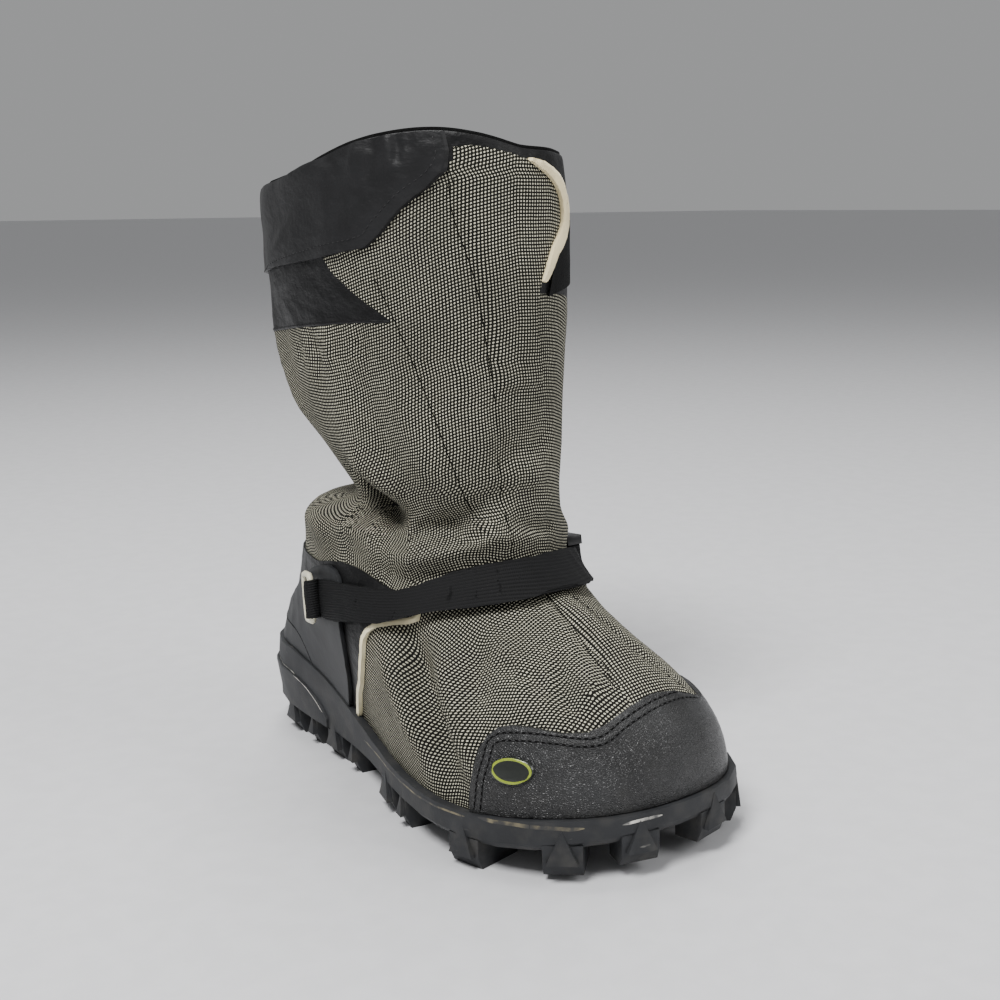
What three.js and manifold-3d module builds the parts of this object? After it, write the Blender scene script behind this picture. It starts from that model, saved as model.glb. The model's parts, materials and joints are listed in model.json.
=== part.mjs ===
// A right-foot winter overshoe: a lugged rubber outsole, a hollow fabric upper that rises into a
// slack shaft, a moulded toe cap and heel counter, and a webbing strap over the instep.
// Millimetres. +X runs to the toe, +Y to the medial side, +Z up. The origin lies on the floor,
// in the middle of the heel's rest pad.
import * as THREE from 'three';
import Module from 'manifold-3d';
import { mergeVertices } from 'three/addons/utils/BufferGeometryUtils.js';

const wasm = await Module();
wasm.setup();

// Sizes of the foot
const SOLE_LENGTH = 306;
const BALL_WIDTH = 132;
const HEEL_WIDTH = 91;
const HEEL_OVERHANG = 30;      // how far the sole reaches behind the origin
const TOE_INSET = 9;           // how far the toe tip lies towards the big toe
const TOE_SPRING = 7;          // rise of the sole's underside at the toe
const INSTEP_HEIGHT = 113;     // where the foot turns into the shaft, at the front

// Sizes of the shaft
const COLLAR_HEIGHT = 304;
const SHAFT_DEPTH = 186;       // front to back, at the collar
const SHAFT_WIDTH = 124;
const SHAFT_FRONT = 170;       // how far forward of the origin the shaft stands

// Walls, seams and clearances
const UPPER_WALL = 2;
const FIT_GAP = 0.3;
const SOLE_WALL = 4;
const SOLE_FLOOR = 20;         // height of the floor inside the sole
const INSOLE_THICKNESS = 3;
const LUG_HEIGHT = 12;
const LUG_INSET = 1;           // how far a lug's face lies inside the outline
const LUG_CUT = 2.5;           // how far its foot lies inside that face
const LUG_SINK = 2;            // how far a lug reaches into the sole's body
const SOLE_TUCK = 2.5;         // how far the sole's lower edge lies inside its outline
const EDGE_ROLL = 3;           // height of that edge's slope
const STEP_DEPTH = 1.1;        // how far the heel's lower side stands out
const LUG_WIDTH = 17;
const LUG_DEPTH = 24;
const RIB_DEPTH = 2.4;         // how far a rib stands out of the sole's side
const RIB_RISE = 9;
const RIB_SHARE = 0.8;         // a rib's width as a share of its lug's
const CAP_THICKNESS = 1.8;
const PANEL_THICKNESS = 0.8;
const COUNTER_THICKNESS = 2;
const PIPING_HEIGHT = 2.2;
const PIPING_WIDTH = 2.6;
const FLAP_THICKNESS = 1.4;
const BINDING_WIDTH = 5;
const BINDING_THICKNESS = 3;
const PATCH_THICKNESS = 1;
const BADGE_LENGTH = 17;
const BADGE_HEIGHT = 11.5;
const BADGE_THICKNESS = 1.2;

// Webbing and its hardware
const WEBBING_WIDTH = 18;
const WEBBING_THICKNESS = 1.8;
const LOOP_WIRE = 3.2;
const LOOP_LENGTH = 20;
const LOOP_WIDTH = 26;
const BUCKLE_WIDTH = 28;
const BUCKLE_THICKNESS = 9;
const SOCKET_LENGTH = 27;
const PLUG_LENGTH = 15;
const BUCKLE_WALL = 2;
const BUCKLE_BAR = 3;
const PRONG_LENGTH = 15;
const PRONG_WIDTH = 4;
const TAIL_NARROWING = 0.9;     // how much of the webbing's width shows where the tail twists
const COLLAR_STRAP_THICKNESS = 1.6;
const COLLAR_BAND_THICKNESS = 1.5;
const COLLAR_BAND_DEPTH = 26;
const COLLAR_BAND_RISE = 1.5;

// How finely the forms are divided
const COLUMNS = 44;
const FOOT_LEVELS = 7;
const FINE_STEPS = 480;        // steps of the outline that the lugs are placed on

// The sole seen from above, from the back of the heel to the toe. at is a share of the sole's
// length; lateral and medial are shares of the width that the row follows.
const OUTLINE = [
  { at: 0.020, width: HEEL_WIDTH, lateral: 0.227, medial: 0.227 },
  { at: 0.060, width: HEEL_WIDTH, lateral: 0.366, medial: 0.366 },
  { at: 0.120, width: HEEL_WIDTH, lateral: 0.454, medial: 0.454 },
  { at: 0.220, width: HEEL_WIDTH, lateral: 0.495, medial: 0.487 },
  { at: 0.350, width: HEEL_WIDTH, lateral: 0.521, medial: 0.485 },
  { at: 0.480, width: BALL_WIDTH, lateral: 0.407, medial: 0.355 },
  { at: 0.600, width: BALL_WIDTH, lateral: 0.476, medial: 0.424 },
  { at: 0.720, width: BALL_WIDTH, lateral: 0.515, medial: 0.485 },
  { at: 0.820, width: BALL_WIDTH, lateral: 0.485, medial: 0.492 },
  { at: 0.900, width: BALL_WIDTH, lateral: 0.398, medial: 0.458 },
  { at: 0.955, width: BALL_WIDTH, lateral: 0.275, medial: 0.375 },
  { at: 0.988, width: BALL_WIDTH, lateral: 0.115, medial: 0.250 },
];

// The shaft's rings, from the ankle to the collar. backRise and frontRise are shares of the
// collar's height, and shoulder, where given, lifts the ring in front of its lateral side. back and front are
// places along the foot, as shares of the shaft's depth measured back from its front. lateral
// and medial are shares of the shaft's width.
const SHAFT = [
  { name: 'ankle', backRise: 0.368, back: 0.892, frontRise: 0.372, front: 0, lateral: 0.405, medial: 0.468 },
  { name: 'bulge', backRise: 0.408, back: 0.890, frontRise: 0.398, front: 0, lateral: 0.425, medial: 0.468 },
  { name: 'bulge top', backRise: 0.434, back: 0.800, frontRise: 0.421, front: 0, lateral: 0.410, medial: 0.452 },
  { name: 'crease', backRise: 0.444, back: 0.634, frontRise: 0.447, front: 0, lateral: 0.306, medial: 0.403 },
  { name: 'above crease', backRise: 0.470, back: 0.610, frontRise: 0.484, front: 0, lateral: 0.339, medial: 0.403 },
  { name: 'lower leg', backRise: 0.526, back: 0.700, frontRise: 0.533, front: 0, lateral: 0.403, medial: 0.444 },
  { name: 'calf', backRise: 0.605, back: 0.882, frontRise: 0.612, front: 0, lateral: 0.435, medial: 0.500 },
  { name: 'upper calf', backRise: 0.707, back: 0.946, frontRise: 0.714, front: -0.011, lateral: 0.452, medial: 0.532 },
  { name: 'below collar', backRise: 0.800, back: 0.978, frontRise: 0.829, front: -0.022, lateral: 0.468, medial: 0.548 },
  {
    name: 'collar seam', backRise: 0.885, back: 0.985, frontRise: 0.935, front: -0.022,
    lateral: 0.468, medial: 0.548, shoulder: 0.030,
  },
  {
    name: 'collar', backRise: 0.925, back: 0.985, frontRise: 0.990, front: -0.016,
    lateral: 0.460, medial: 0.540, shoulder: 0.068,
  },
];

// How the upper leaves the sole and reaches the ankle, from the heel round to the toe. turn is
// a share of half a turn, rise and reach are shares of the instep's height, lean and ahead tilt
// the two ends forward, flare leans the lower end outward. spread widens the upper end on the
// lateral side and drawIn narrows it on the medial side, as shares of its place across.
const FOOT_CURVES = [
  { turn: 0.00, rise: 0.29, lean: 0.08, flare: 0.10, reach: 0.27, ahead: 0.05, spread: 0.10, drawIn: 0.00 },
  { turn: 0.18, rise: 0.33, lean: -0.10, flare: 0.26, reach: 0.30, ahead: 0.10, spread: 0.30, drawIn: -0.20 },
  { turn: 0.40, rise: 0.33, lean: -0.06, flare: 0.10, reach: 0.30, ahead: 0.20, spread: 0.18, drawIn: 0.00 },
  { turn: 0.70, rise: 0.38, lean: 0.00, flare: 0.05, reach: 0.48, ahead: 0.85, spread: 0.45, drawIn: 0.36 },
  { turn: 1.00, rise: 0.46, lean: 0.14, flare: 0.00, reach: 0.60, ahead: 2.30, spread: 0.30, drawIn: 0.36 },
];

// The sole's upper edge seen from the side: at is a share of the sole's length, height of the
// heel cup's height.
const HEEL_CUP_HEIGHT = 50;
const TOP_LINE = [
  { at: -0.10, height: 1.00 },
  { at: 0.14, height: 1.00 },
  { at: 0.21, height: 1.00 },
  { at: 0.28, height: 0.94 },
  { at: 0.32, height: 0.87 },
  { at: 0.37, height: 0.76 },
  { at: 0.42, height: 0.66 },
  { at: 0.50, height: 0.57 },
  { at: 0.62, height: 0.51 },
  { at: 0.80, height: 0.50 },
  { at: 0.93, height: 0.56 },
  { at: 1.10, height: 0.62 },
];

// The lugs along each side, from the back of the heel to the toe. turn is a share of half the
// outline; size, depth and rib are shares of a full lug's width, its depth and its rib's rise.
const LUGS = [
  { turn: 0.070, size: 1.00, depth: 0.60, rib: 1.0 },
  { turn: 0.187, size: 1.00, depth: 0.90, rib: 1.0 },
  { turn: 0.257, size: 0.45, depth: 0.60, rib: 0.5 },
  { turn: 0.327, size: 1.00, depth: 1.00, rib: 1.0 },
  { turn: 0.387, size: 0.45, depth: 0.60, rib: 0.5 },
  { turn: 0.523, size: 1.00, depth: 1.00, rib: 1.0 },
  { turn: 0.583, size: 0.45, depth: 0.60, rib: 0.5 },
  { turn: 0.723, size: 1.00, depth: 1.00, rib: 1.0 },
  { turn: 0.853, size: 1.00, depth: 0.90, rib: 1.0 },
  { turn: 0.945, size: 1.00, depth: 0.60, rib: 1.0 },
];

// The step on the heel's side, from the back of the heel down to the lugs of the arch.
const STEP_LINE = [
  { at: -0.05, height: 0.33 },
  { at: 0.05, height: 0.33 },
  { at: 0.18, height: 0.318 },
  { at: 0.235, height: 0.292 },
  { at: 0.265, height: 0.257 },
  { at: 0.285, height: 0.221 },
  { at: 0.300, height: 0.170 },
];

// Bars down the middle of the tread, and the pads that the heel and the forefoot rest on. at is
// a share of the sole's length; across, length and width are shares of the ball's width.
const MIDDLE_BARS = [
  { at: 0.098, across: 0.000, length: 0.19, width: 0.22 },
  { at: 0.190, across: 0.000, length: 0.07, width: 0.26 },
  { at: 0.400, across: -0.010, length: 0.07, width: 0.27 },
  { at: 0.480, across: -0.010, length: 0.07, width: 0.30 },
  { at: 0.570, across: -0.020, length: 0.08, width: 0.36 },
  { at: 0.700, across: 0.000, length: 0.20, width: 0.23 },
  { at: 0.800, across: 0.020, length: 0.08, width: 0.40 },
];

const alongSole = (share) => share * SOLE_LENGTH - HEEL_OVERHANG;
const shareAlong = (x) => (x + HEEL_OVERHANG) / SOLE_LENGTH;
const clamp = (value, low, high) => Math.min(Math.max(value, low), high);
const smooth = (share) => share * share * (3 - 2 * share);

// A column of a table at any place between its rows, with a smooth run from row to row.
function between(rows, key, place, column) {
  let i = 0;
  while (i < rows.length - 2 && rows[i + 1][key] < place) i += 1;
  const share = clamp((place - rows[i][key]) / (rows[i + 1][key] - rows[i][key]), 0, 1);
  return rows[i][column] + (rows[i + 1][column] - rows[i][column]) * smooth(share);
}

// The outline as evenly spaced points, from the back of the heel along the lateral side.
function outlinePoints(count, inset = 0) {
  const lateral = OUTLINE.map((row) => new THREE.Vector3(alongSole(row.at), -row.lateral * row.width, 0));
  const medial = OUTLINE.map((row) => new THREE.Vector3(alongSole(row.at), row.medial * row.width, 0));
  const back = new THREE.Vector3(-HEEL_OVERHANG, 0, 0);
  const tip = new THREE.Vector3(alongSole(1), TOE_INSET, 0);
  const curve = new THREE.CatmullRomCurve3([back, ...lateral, tip, ...medial.reverse()], true, 'centripetal');
  curve.arcLengthDivisions = 1200;
  const points = curve.getSpacedPoints(count).slice(0, count);
  const shifted = points.map((point, i) => {
    const before = points[(i + count - 1) % count];
    const after = points[(i + 1) % count];
    const along = after.clone().sub(before).normalize();
    return point.clone().add(new THREE.Vector3(-along.y, along.x, 0).multiplyScalar(inset));
  });
  return shifted;
}

const springAt = (x) => TOE_SPRING * clamp((shareAlong(x) - 0.78) / 0.22, 0, 1) ** 2;
const footEdge = outlinePoints(COLUMNS, SOLE_WALL + FIT_GAP);

// One ring of the shaft, as points that match the columns of the foot.
function shaftRing(row) {
  const back = SHAFT_FRONT - row.back * SHAFT_DEPTH;
  const front = SHAFT_FRONT - row.front * SHAFT_DEPTH;
  const middle = (back + front) / 2;
  const reach = (front - back) / 2;
  const side = (row.medial - row.lateral) / 2 * SHAFT_WIDTH;
  const half = (row.medial + row.lateral) / 2 * SHAFT_WIDTH;
  return footEdge.map((point, j) => {
    const angle = 2 * Math.PI * j / COLUMNS;
    const ahead = -Math.cos(angle);
    const lateralShare = Math.max(Math.sin(angle), 0);
    const shoulder = (row.shoulder ?? 0) * lateralShare * Math.max(ahead, 0);
    const rise = row.backRise + (row.frontRise - row.backRise) * (ahead + 1) / 2 + shoulder;
    return new THREE.Vector3(middle + reach * ahead, side - half * Math.sin(angle), rise * COLLAR_HEIGHT);
  });
}

// The upper's outer surface as rings of points: from the sole up the foot to the ankle, then
// up the shaft.
function upperRings() {
  const ankle = shaftRing(SHAFT[0]);
  const rings = [];
  for (let level = 0; level < FOOT_LEVELS; level += 1) {
    const t = level / FOOT_LEVELS;
    rings.push(footEdge.map((edge, j) => {
      const turn = 1 - Math.abs(1 - 2 * j / COLUMNS);
      const at = (column) => between(FOOT_CURVES, 'turn', turn, column);
      const start = edge.clone().setZ(SOLE_FLOOR + FIT_GAP + springAt(edge.x));
      const end = ankle[j];
      const rise = at('rise') * INSTEP_HEIGHT;
      const reach = at('reach') * INSTEP_HEIGHT;
      const ahead = at('ahead');
      const slope = Math.hypot(ahead, 1);
      const outward = Math.sign(edge.y) * at('flare') * rise;
      const lower = start.clone().add(new THREE.Vector3(at('lean') * rise, outward, rise));
      const upper = end.clone().add(new THREE.Vector3(ahead / slope * reach, 0, -reach / slope));
      upper.y *= upper.y < 0 ? 1 + at('spread') : 1 - at('drawIn');
      const curve = new THREE.CubicBezierCurve3(start, lower, upper, end);
      return curve.getPoint(t);
    }));
  }
  const shaft = SHAFT.map(shaftRing);
  return rings.concat(shaft);
}

const outerRings = upperRings();

// The normal of the ringed surface at one point, level at the first and last ring.
function normalAt(rings, i, j) {
  const count = rings[i].length;
  const up = rings[Math.min(i + 1, rings.length - 1)][j].clone().sub(rings[Math.max(i - 1, 0)][j]);
  const around = rings[i][(j + 1) % count].clone().sub(rings[i][(j + count - 1) % count]);
  const normal = around.cross(up);
  if (i === 0 || i === rings.length - 1) normal.z = 0;
  return normal.normalize();
}

const offsetRings = (rings, distance) => rings.map((ring, i) => ring.map(
  (point, j) => point.clone().add(normalAt(rings, i, j).multiplyScalar(distance))));

// A geometry from vertices and triangles given as lists.
function geometryFrom(vertices, triangles) {
  const geometry = new THREE.BufferGeometry();
  geometry.setAttribute('position', new THREE.Float32BufferAttribute(vertices.flatMap((v) => [v.x, v.y, v.z]), 3));
  geometry.setIndex(triangles.flat());
  return geometry;
}

// Joins rings into quads that are split in two. outward says which way their faces look.
function ringFaces(ringCount, columns, first, outward) {
  const faces = [];
  for (let i = 0; i < ringCount - 1; i += 1) {
    for (let j = 0; j < columns; j += 1) {
      const a = first + i * columns + j;
      const b = first + i * columns + (j + 1) % columns;
      const c = a + columns;
      const d = b + columns;
      if (outward) faces.push([a, b, d], [a, d, c]);
      else faces.push([a, d, b], [a, c, d]);
    }
  }
  return faces;
}

// Faces that close a ring, as rungs from each column to the one across from it.
function rungFaces(first, columns, upward) {
  const faces = [];
  for (let j = 0; j < columns / 2; j += 1) {
    const near = [first + j, first + j + 1];
    const far = [first + (columns - j) % columns, first + columns - j - 1];
    if (near[1] !== far[1]) faces.push([near[0], near[1], far[1]]);
    if (near[0] !== far[0]) faces.push([near[0], far[1], far[0]]);
  }
  return upward ? faces : faces.map(([u, v, w]) => [u, w, v]);
}

// A closed form: rings with the first and the last one closed.
function closedForm(rings) {
  const columns = rings[0].length;
  const last = (rings.length - 1) * columns;
  return geometryFrom(rings.flat(), [
    ...ringFaces(rings.length, columns, 0, true),
    ...rungFaces(0, columns, false),
    ...rungFaces(last, columns, true),
  ]);
}

// A wall between an outer and an inner stack of rings, open at both ends.
function openWall(outer, inner) {
  const columns = outer[0].length;
  const vertices = outer.flat().concat(inner.flat());
  const innerFirst = outer.length * columns;
  const faces = ringFaces(outer.length, columns, 0, true).concat(
    ringFaces(inner.length, columns, innerFirst, false));
  const outerLast = (outer.length - 1) * columns;
  const innerLast = innerFirst + (inner.length - 1) * columns;
  for (let j = 0; j < columns; j += 1) {
    const k = (j + 1) % columns;
    faces.push([j, innerFirst + j, innerFirst + k], [j, innerFirst + k, k]);
    faces.push([outerLast + j, outerLast + k, innerLast + k], [outerLast + j, innerLast + k, innerLast + j]);
  }
  return geometryFrom(vertices, faces);
}

// A three.js geometry as a solid for cutting and joining.
function solid(geometry) {
  const bare = geometry.clone();
  bare.deleteAttribute('normal');
  bare.deleteAttribute('uv');
  const merged = mergeVertices(bare, 1e-4);
  return new wasm.Manifold(new wasm.Mesh({
    numProp: 3,
    vertProperties: new Float32Array(merged.attributes.position.array),
    triVerts: new Uint32Array(merged.index.array),
  }));
}

function geometryOf(manifold) {
  const mesh = manifold.getMesh();
  const geometry = new THREE.BufferGeometry();
  const positions = new Float32Array(mesh.numVert * 3);
  for (let i = 0; i < mesh.numVert; i += 1) {
    for (let k = 0; k < 3; k += 1) positions[3 * i + k] = mesh.vertProperties[i * mesh.numProp + k];
  }
  geometry.setAttribute('position', new THREE.BufferAttribute(positions, 3));
  geometry.setIndex(new THREE.BufferAttribute(new Uint32Array(mesh.triVerts), 1));
  return geometry;
}

// How far cutting forms reach past the shoe.
const CUT_REACH = SOLE_LENGTH;

// A prism across the whole shoe from an outline seen from the side, as x and z in millimetres.
function sidePrism(points, fromY = -CUT_REACH, toY = CUT_REACH) {
  const shape = new THREE.Shape(points.map(([x, z]) => new THREE.Vector2(x, z)));
  const geometry = new THREE.ExtrudeGeometry(shape, { depth: toY - fromY, bevelEnabled: false });
  geometry.rotateX(Math.PI / 2);
  geometry.translate(0, toY, 0);
  return geometry;
}

const topLineHeight = (x) => HEEL_CUP_HEIGHT * between(TOP_LINE, 'at', shareAlong(x), 'height');

// Everything under the sole's upper edge, raised by a clearance.
function belowTopLine(clearance) {
  const first = alongSole(TOP_LINE[0].at);
  const last = alongSole(TOP_LINE[TOP_LINE.length - 1].at);
  const steps = 20;
  const points = [];
  for (let i = 0; i <= steps; i += 1) {
    const x = first + (last - first) * i / steps;
    points.push([x, topLineHeight(x) + clearance]);
  }
  points.push([last, -CUT_REACH], [first, -CUT_REACH]);
  return solid(sidePrism(points));
}

const soleCup = offsetRings(outerRings, FIT_GAP + SOLE_WALL);
const soleStep = offsetRings(outerRings, FIT_GAP + SOLE_WALL + STEP_DEPTH);
const upperOuter = offsetRings(outerRings, 0);
const upperInner = offsetRings(outerRings, -UPPER_WALL);
const cavityRings = offsetRings(outerRings, FIT_GAP);

const lowered = (ring, height) => ring.map((p) => p.clone().setZ(height(p)));

// A lug under the sole's edge: a block, cut back at its outer foot, that reaches into the body.
function lugBlock(place, turned, width, depth) {
  const outline = new THREE.Shape([
    new THREE.Vector2(LUG_CUT, 0), new THREE.Vector2(depth, 0),
    new THREE.Vector2(depth, LUG_HEIGHT + LUG_SINK), new THREE.Vector2(0, LUG_HEIGHT + LUG_SINK),
    new THREE.Vector2(0, LUG_HEIGHT / 2),
  ]);
  const block = new THREE.ExtrudeGeometry(outline, { depth: width, bevelEnabled: false });
  block.translate(0, 0, -width / 2);
  block.rotateX(Math.PI / 2);
  block.rotateZ(turned + Math.PI / 2);
  return solid(block.translate(place.x, place.y, springAt(place.x)));
}

// The pointed rib that climbs the sole's side above a lug.
function sideRib(place, along, inward, width, low, high) {
  const at = (t, out, z) => place.clone().addScaledVector(along, t).addScaledVector(inward, -out).setZ(z);
  const root = -SOLE_WALL / 2;
  const vertices = [
    at(-width / 2, RIB_DEPTH, low), at(width / 2, RIB_DEPTH, low), at(0, RIB_DEPTH / 3, high),
    at(-width / 2, root, low), at(width / 2, root, low), at(0, root, high),
  ];
  const faces = [[0, 1, 2], [3, 5, 4], [0, 3, 4], [0, 4, 1], [1, 4, 5], [1, 5, 2], [2, 5, 3], [2, 3, 0]];
  return solid(geometryFrom(vertices, faces));
}

// The tread: lugs of two sizes along both sides, and the bars and pads down the middle.
function tread() {
  const fine = outlinePoints(FINE_STEPS, LUG_INSET);
  const pieces = [];
  for (const lug of LUGS) {
    for (const side of [1, -1]) {
      const j = (FINE_STEPS + side * Math.round(lug.turn * FINE_STEPS / 2)) % FINE_STEPS;
      const place = fine[j];
      const along = fine[(j + 1) % FINE_STEPS].clone().sub(fine[(j + FINE_STEPS - 1) % FINE_STEPS]).normalize();
      const inward = new THREE.Vector3(-along.y, along.x, 0);
      const width = lug.size * LUG_WIDTH;
      const spring = springAt(place.x);
      pieces.push(lugBlock(place, Math.atan2(along.y, along.x), width, lug.depth * LUG_DEPTH));
      const low = spring + LUG_HEIGHT / 2;
      const high = spring + LUG_HEIGHT + lug.rib * RIB_RISE;
      pieces.push(sideRib(place, along, inward, width * RIB_SHARE, low, high));
    }
  }
  for (const bar of MIDDLE_BARS) {
    const place = new THREE.Vector3(alongSole(bar.at), bar.across * BALL_WIDTH, 0);
    const block = new THREE.BoxGeometry(bar.length * BALL_WIDTH, bar.width * BALL_WIDTH, LUG_HEIGHT + LUG_SINK);
    pieces.push(solid(block.translate(place.x, place.y, (LUG_HEIGHT + LUG_SINK) / 2 + springAt(place.x))));
  }
  return pieces;
}

// The outsole: its body, lugs and side ribs, with the cup that the upper stands in.
function outsole() {
  const edge = soleCup[0];
  const tucked = outlinePoints(COLUMNS, SOLE_TUCK);
  const body = closedForm([
    lowered(tucked, (p) => LUG_HEIGHT + springAt(p.x)),
    lowered(edge, (p) => LUG_HEIGHT + EDGE_ROLL + springAt(p.x)),
    ...soleCup.slice(0, FOOT_LEVELS),
  ]);
  const cavity = closedForm([
    lowered(cavityRings[0], (p) => SOLE_FLOOR + springAt(p.x)),
    ...cavityRings.slice(0, FOOT_LEVELS + 1),
  ]);
  const stepped = closedForm([
    lowered(outlinePoints(COLUMNS, SOLE_TUCK), (p) => LUG_HEIGHT + springAt(p.x)),
    lowered(soleStep[0], (p) => LUG_HEIGHT + EDGE_ROLL + springAt(p.x)),
    ...soleStep.slice(0, FOOT_LEVELS),
  ]);
  const line = asPairs(sideLine(STEP_LINE, 10));
  const low = solid(sidePrism([[line[0][0], -CUT_REACH], ...line, [line[line.length - 1][0], -CUT_REACH]]));
  const walls = solid(body).intersect(belowTopLine(0)).add(solid(stepped).intersect(low));
  const joined = tread().reduce((sum, piece) => sum.add(piece), walls);
  return joined.subtract(solid(cavity));
}

// Straps, loops and overlays lie on the upper. These are their distances from its surface.
const ON_UPPER = FIT_GAP;
const ON_PANEL = ON_UPPER + PANEL_THICKNESS + FIT_GAP;
const ON_CAP = ON_UPPER + CAP_THICKNESS + FIT_GAP;
const ON_COUNTER = ON_PANEL + COUNTER_THICKNESS + FIT_GAP;

const formAt = (distance) => solid(closedForm(offsetRings(outerRings, distance)));

const RIM_CLEARANCE = 3;

// A layer that lies on the form between two distances, with nothing over the collar's opening.
function shell(low, high) {
  const rim = offsetRings(outerRings, low).pop();
  const opening = closedForm([1, CUT_REACH].map((rise) => lowered(rim, (p) => p.z - RIM_CLEARANCE + rise)));
  return formAt(high).subtract(formAt(low)).subtract(solid(opening));
}

// A smooth line through rows that give at as a share of the sole's length and height as a share
// of the instep's height.
function sideLine(rows, steps) {
  const points = rows.map((row) => new THREE.Vector2(alongSole(row.at), row.height * INSTEP_HEIGHT));
  return new THREE.SplineCurve(points).getPoints(steps);
}

const asPairs = (points) => points.map((p) => [p.x, p.y]);

// A strip of even width along a line, as an outline.
function stripAlong(points, width) {
  const sides = [1, -1].map((sign) => points.map((p, i) => {
    const before = points[Math.max(i - 1, 0)];
    const after = points[Math.min(i + 1, points.length - 1)];
    const along = after.clone().sub(before).normalize();
    return [p.x - sign * along.y * width / 2, p.y + sign * along.x * width / 2];
  }));
  return sides[0].concat(sides[1].reverse());
}

// The toe cap's upper edge, from its lower corner on the side over the top of the toe.
const CAP_EDGE = [
  { at: 0.799, height: 0.10 },
  { at: 0.802, height: 0.25 },
  { at: 0.805, height: 0.40 },
  { at: 0.811, height: 0.50 },
  { at: 0.827, height: 0.55 },
  { at: 0.860, height: 0.555 },
  { at: 0.900, height: 0.545 },
  { at: 0.928, height: 0.55 },
  { at: 0.939, height: 0.60 },
  { at: 0.940, height: 0.70 },
  { at: 0.930, height: 0.90 },
];

function toeCap() {
  const edge = asPairs(sideLine(CAP_EDGE, 16));
  const region = solid(sidePrism([...edge, [CUT_REACH * 2, INSTEP_HEIGHT], [CUT_REACH * 2, 0]]));
  return shell(ON_UPPER, ON_UPPER + CAP_THICKNESS).intersect(region).subtract(belowTopLine(FIT_GAP));
}

// The moulded heel counter's upper and front edge, from the back of the heel up to the ear that
// carries the strap's loop, and down to the sole.
const COUNTER_EDGE = [
  { at: -0.10, height: 0.56 },
  { at: 0.06, height: 0.58 },
  { at: 0.145, height: 0.64 },
  { at: 0.240, height: 0.79 },
  { at: 0.320, height: 0.90 },
  { at: 0.370, height: 0.94 },
  { at: 0.405, height: 0.935 },
  { at: 0.430, height: 0.88 },
  { at: 0.436, height: 0.78 },
  { at: 0.446, height: 0.66 },
  { at: 0.440, height: 0.52 },
  { at: 0.415, height: 0.38 },
  { at: 0.390, height: 0.26 },
];

function heelCounter() {
  const edge = asPairs(sideLine(COUNTER_EDGE, 20));
  const foot = [edge[edge.length - 1][0], 0];
  const region = solid(sidePrism([[-CUT_REACH, 0], [-CUT_REACH, edge[0][1]], ...edge, foot]));
  return shell(ON_PANEL, ON_PANEL + COUNTER_THICKNESS).intersect(region).subtract(belowTopLine(FIT_GAP));
}

// The piping that edges the panel under the counter, from the sole up and forward.
const PIPING_LINE = [
  { at: 0.425, height: 0.28 },
  { at: 0.450, height: 0.40 },
  { at: 0.492, height: 0.51 },
  { at: 0.511, height: 0.61 },
  { at: 0.514, height: 0.68 },
  { at: 0.520, height: 0.74 },
  { at: 0.540, height: 0.785 },
  { at: 0.575, height: 0.815 },
  { at: 0.605, height: 0.84 },
];

function piping(side) {
  const strip = stripAlong(sideLine(PIPING_LINE, 12), PIPING_WIDTH);
  const region = solid(side < 0 ? sidePrism(strip, -CUT_REACH, 0) : sidePrism(strip, 0, CUT_REACH));
  return shell(ON_UPPER, ON_UPPER + PIPING_HEIGHT).intersect(region).subtract(belowTopLine(FIT_GAP));
}

// The panel between the upper and the counter reaches from the piping round the heel. Its upper
// edge runs from the back of the heel to the piping.
const PANEL_TOP = [
  { at: -0.10, height: 0.92 },
  { at: 0.24, height: 0.93 },
  { at: 0.32, height: 0.93 },
  { at: 0.39, height: 0.965 },
  { at: 0.43, height: 0.970 },
  { at: 0.47, height: 0.955 },
  { at: 0.52, height: 0.925 },
  { at: 0.58, height: 0.900 },
];

function heelPanel() {
  const line = sideLine(PIPING_LINE, 12);
  const clear = PIPING_WIDTH / 2 + FIT_GAP;
  const edge = stripAlong(line, 2 * clear).slice(0, line.length);
  const top = asPairs(sideLine(PANEL_TOP, 10));
  edge.reverse();
  const foot = [edge[edge.length - 1][0], 0];
  const region = solid(sidePrism([[-CUT_REACH, 0], [-CUT_REACH, top[0][1]], ...top, ...edge, foot]));
  return shell(ON_UPPER, ON_UPPER + PANEL_THICKNESS).intersect(region).subtract(belowTopLine(FIT_GAP));
}

// Where a level line across the shoe meets the upper: the point and the surface's direction.
const formMesh = new THREE.Mesh(closedForm(upperOuter));
formMesh.geometry.computeVertexNormals();

function touch(x, z, side) {
  const from = new THREE.Vector3(x, side * CUT_REACH, z);
  const caster = new THREE.Raycaster(from, new THREE.Vector3(0, -side, 0));
  const hit = caster.intersectObject(formMesh)[0];
  return { point: hit.point, out: hit.face.normal.clone() };
}

// A right-handed frame on the upper. out leaves the surface and up climbs it; along runs forward
// on the lateral side and backward on the medial one. tilt is the slope of the forward run.
function frameOn(x, z, side, distance, tilt) {
  const { point, out } = touch(x, z, side);
  const run = new THREE.Vector3(Math.cos(tilt), 0, Math.sin(tilt)).multiplyScalar(-side);
  const along = run.addScaledVector(out, -run.dot(out)).normalize();
  const up = out.clone().cross(along).normalize();
  return { origin: point.addScaledVector(out, distance), along, up, out };
}

// Moves a geometry that is drawn with x along, y up and z out onto such a frame.
function placeOn(geometry, frame, along = 0, up = 0, out = 0) {
  geometry.translate(along, up, out);
  geometry.applyMatrix4(new THREE.Matrix4().makeBasis(frame.along, frame.up, frame.out));
  geometry.translate(frame.origin.x, frame.origin.y, frame.origin.z);
  return geometry;
}

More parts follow.
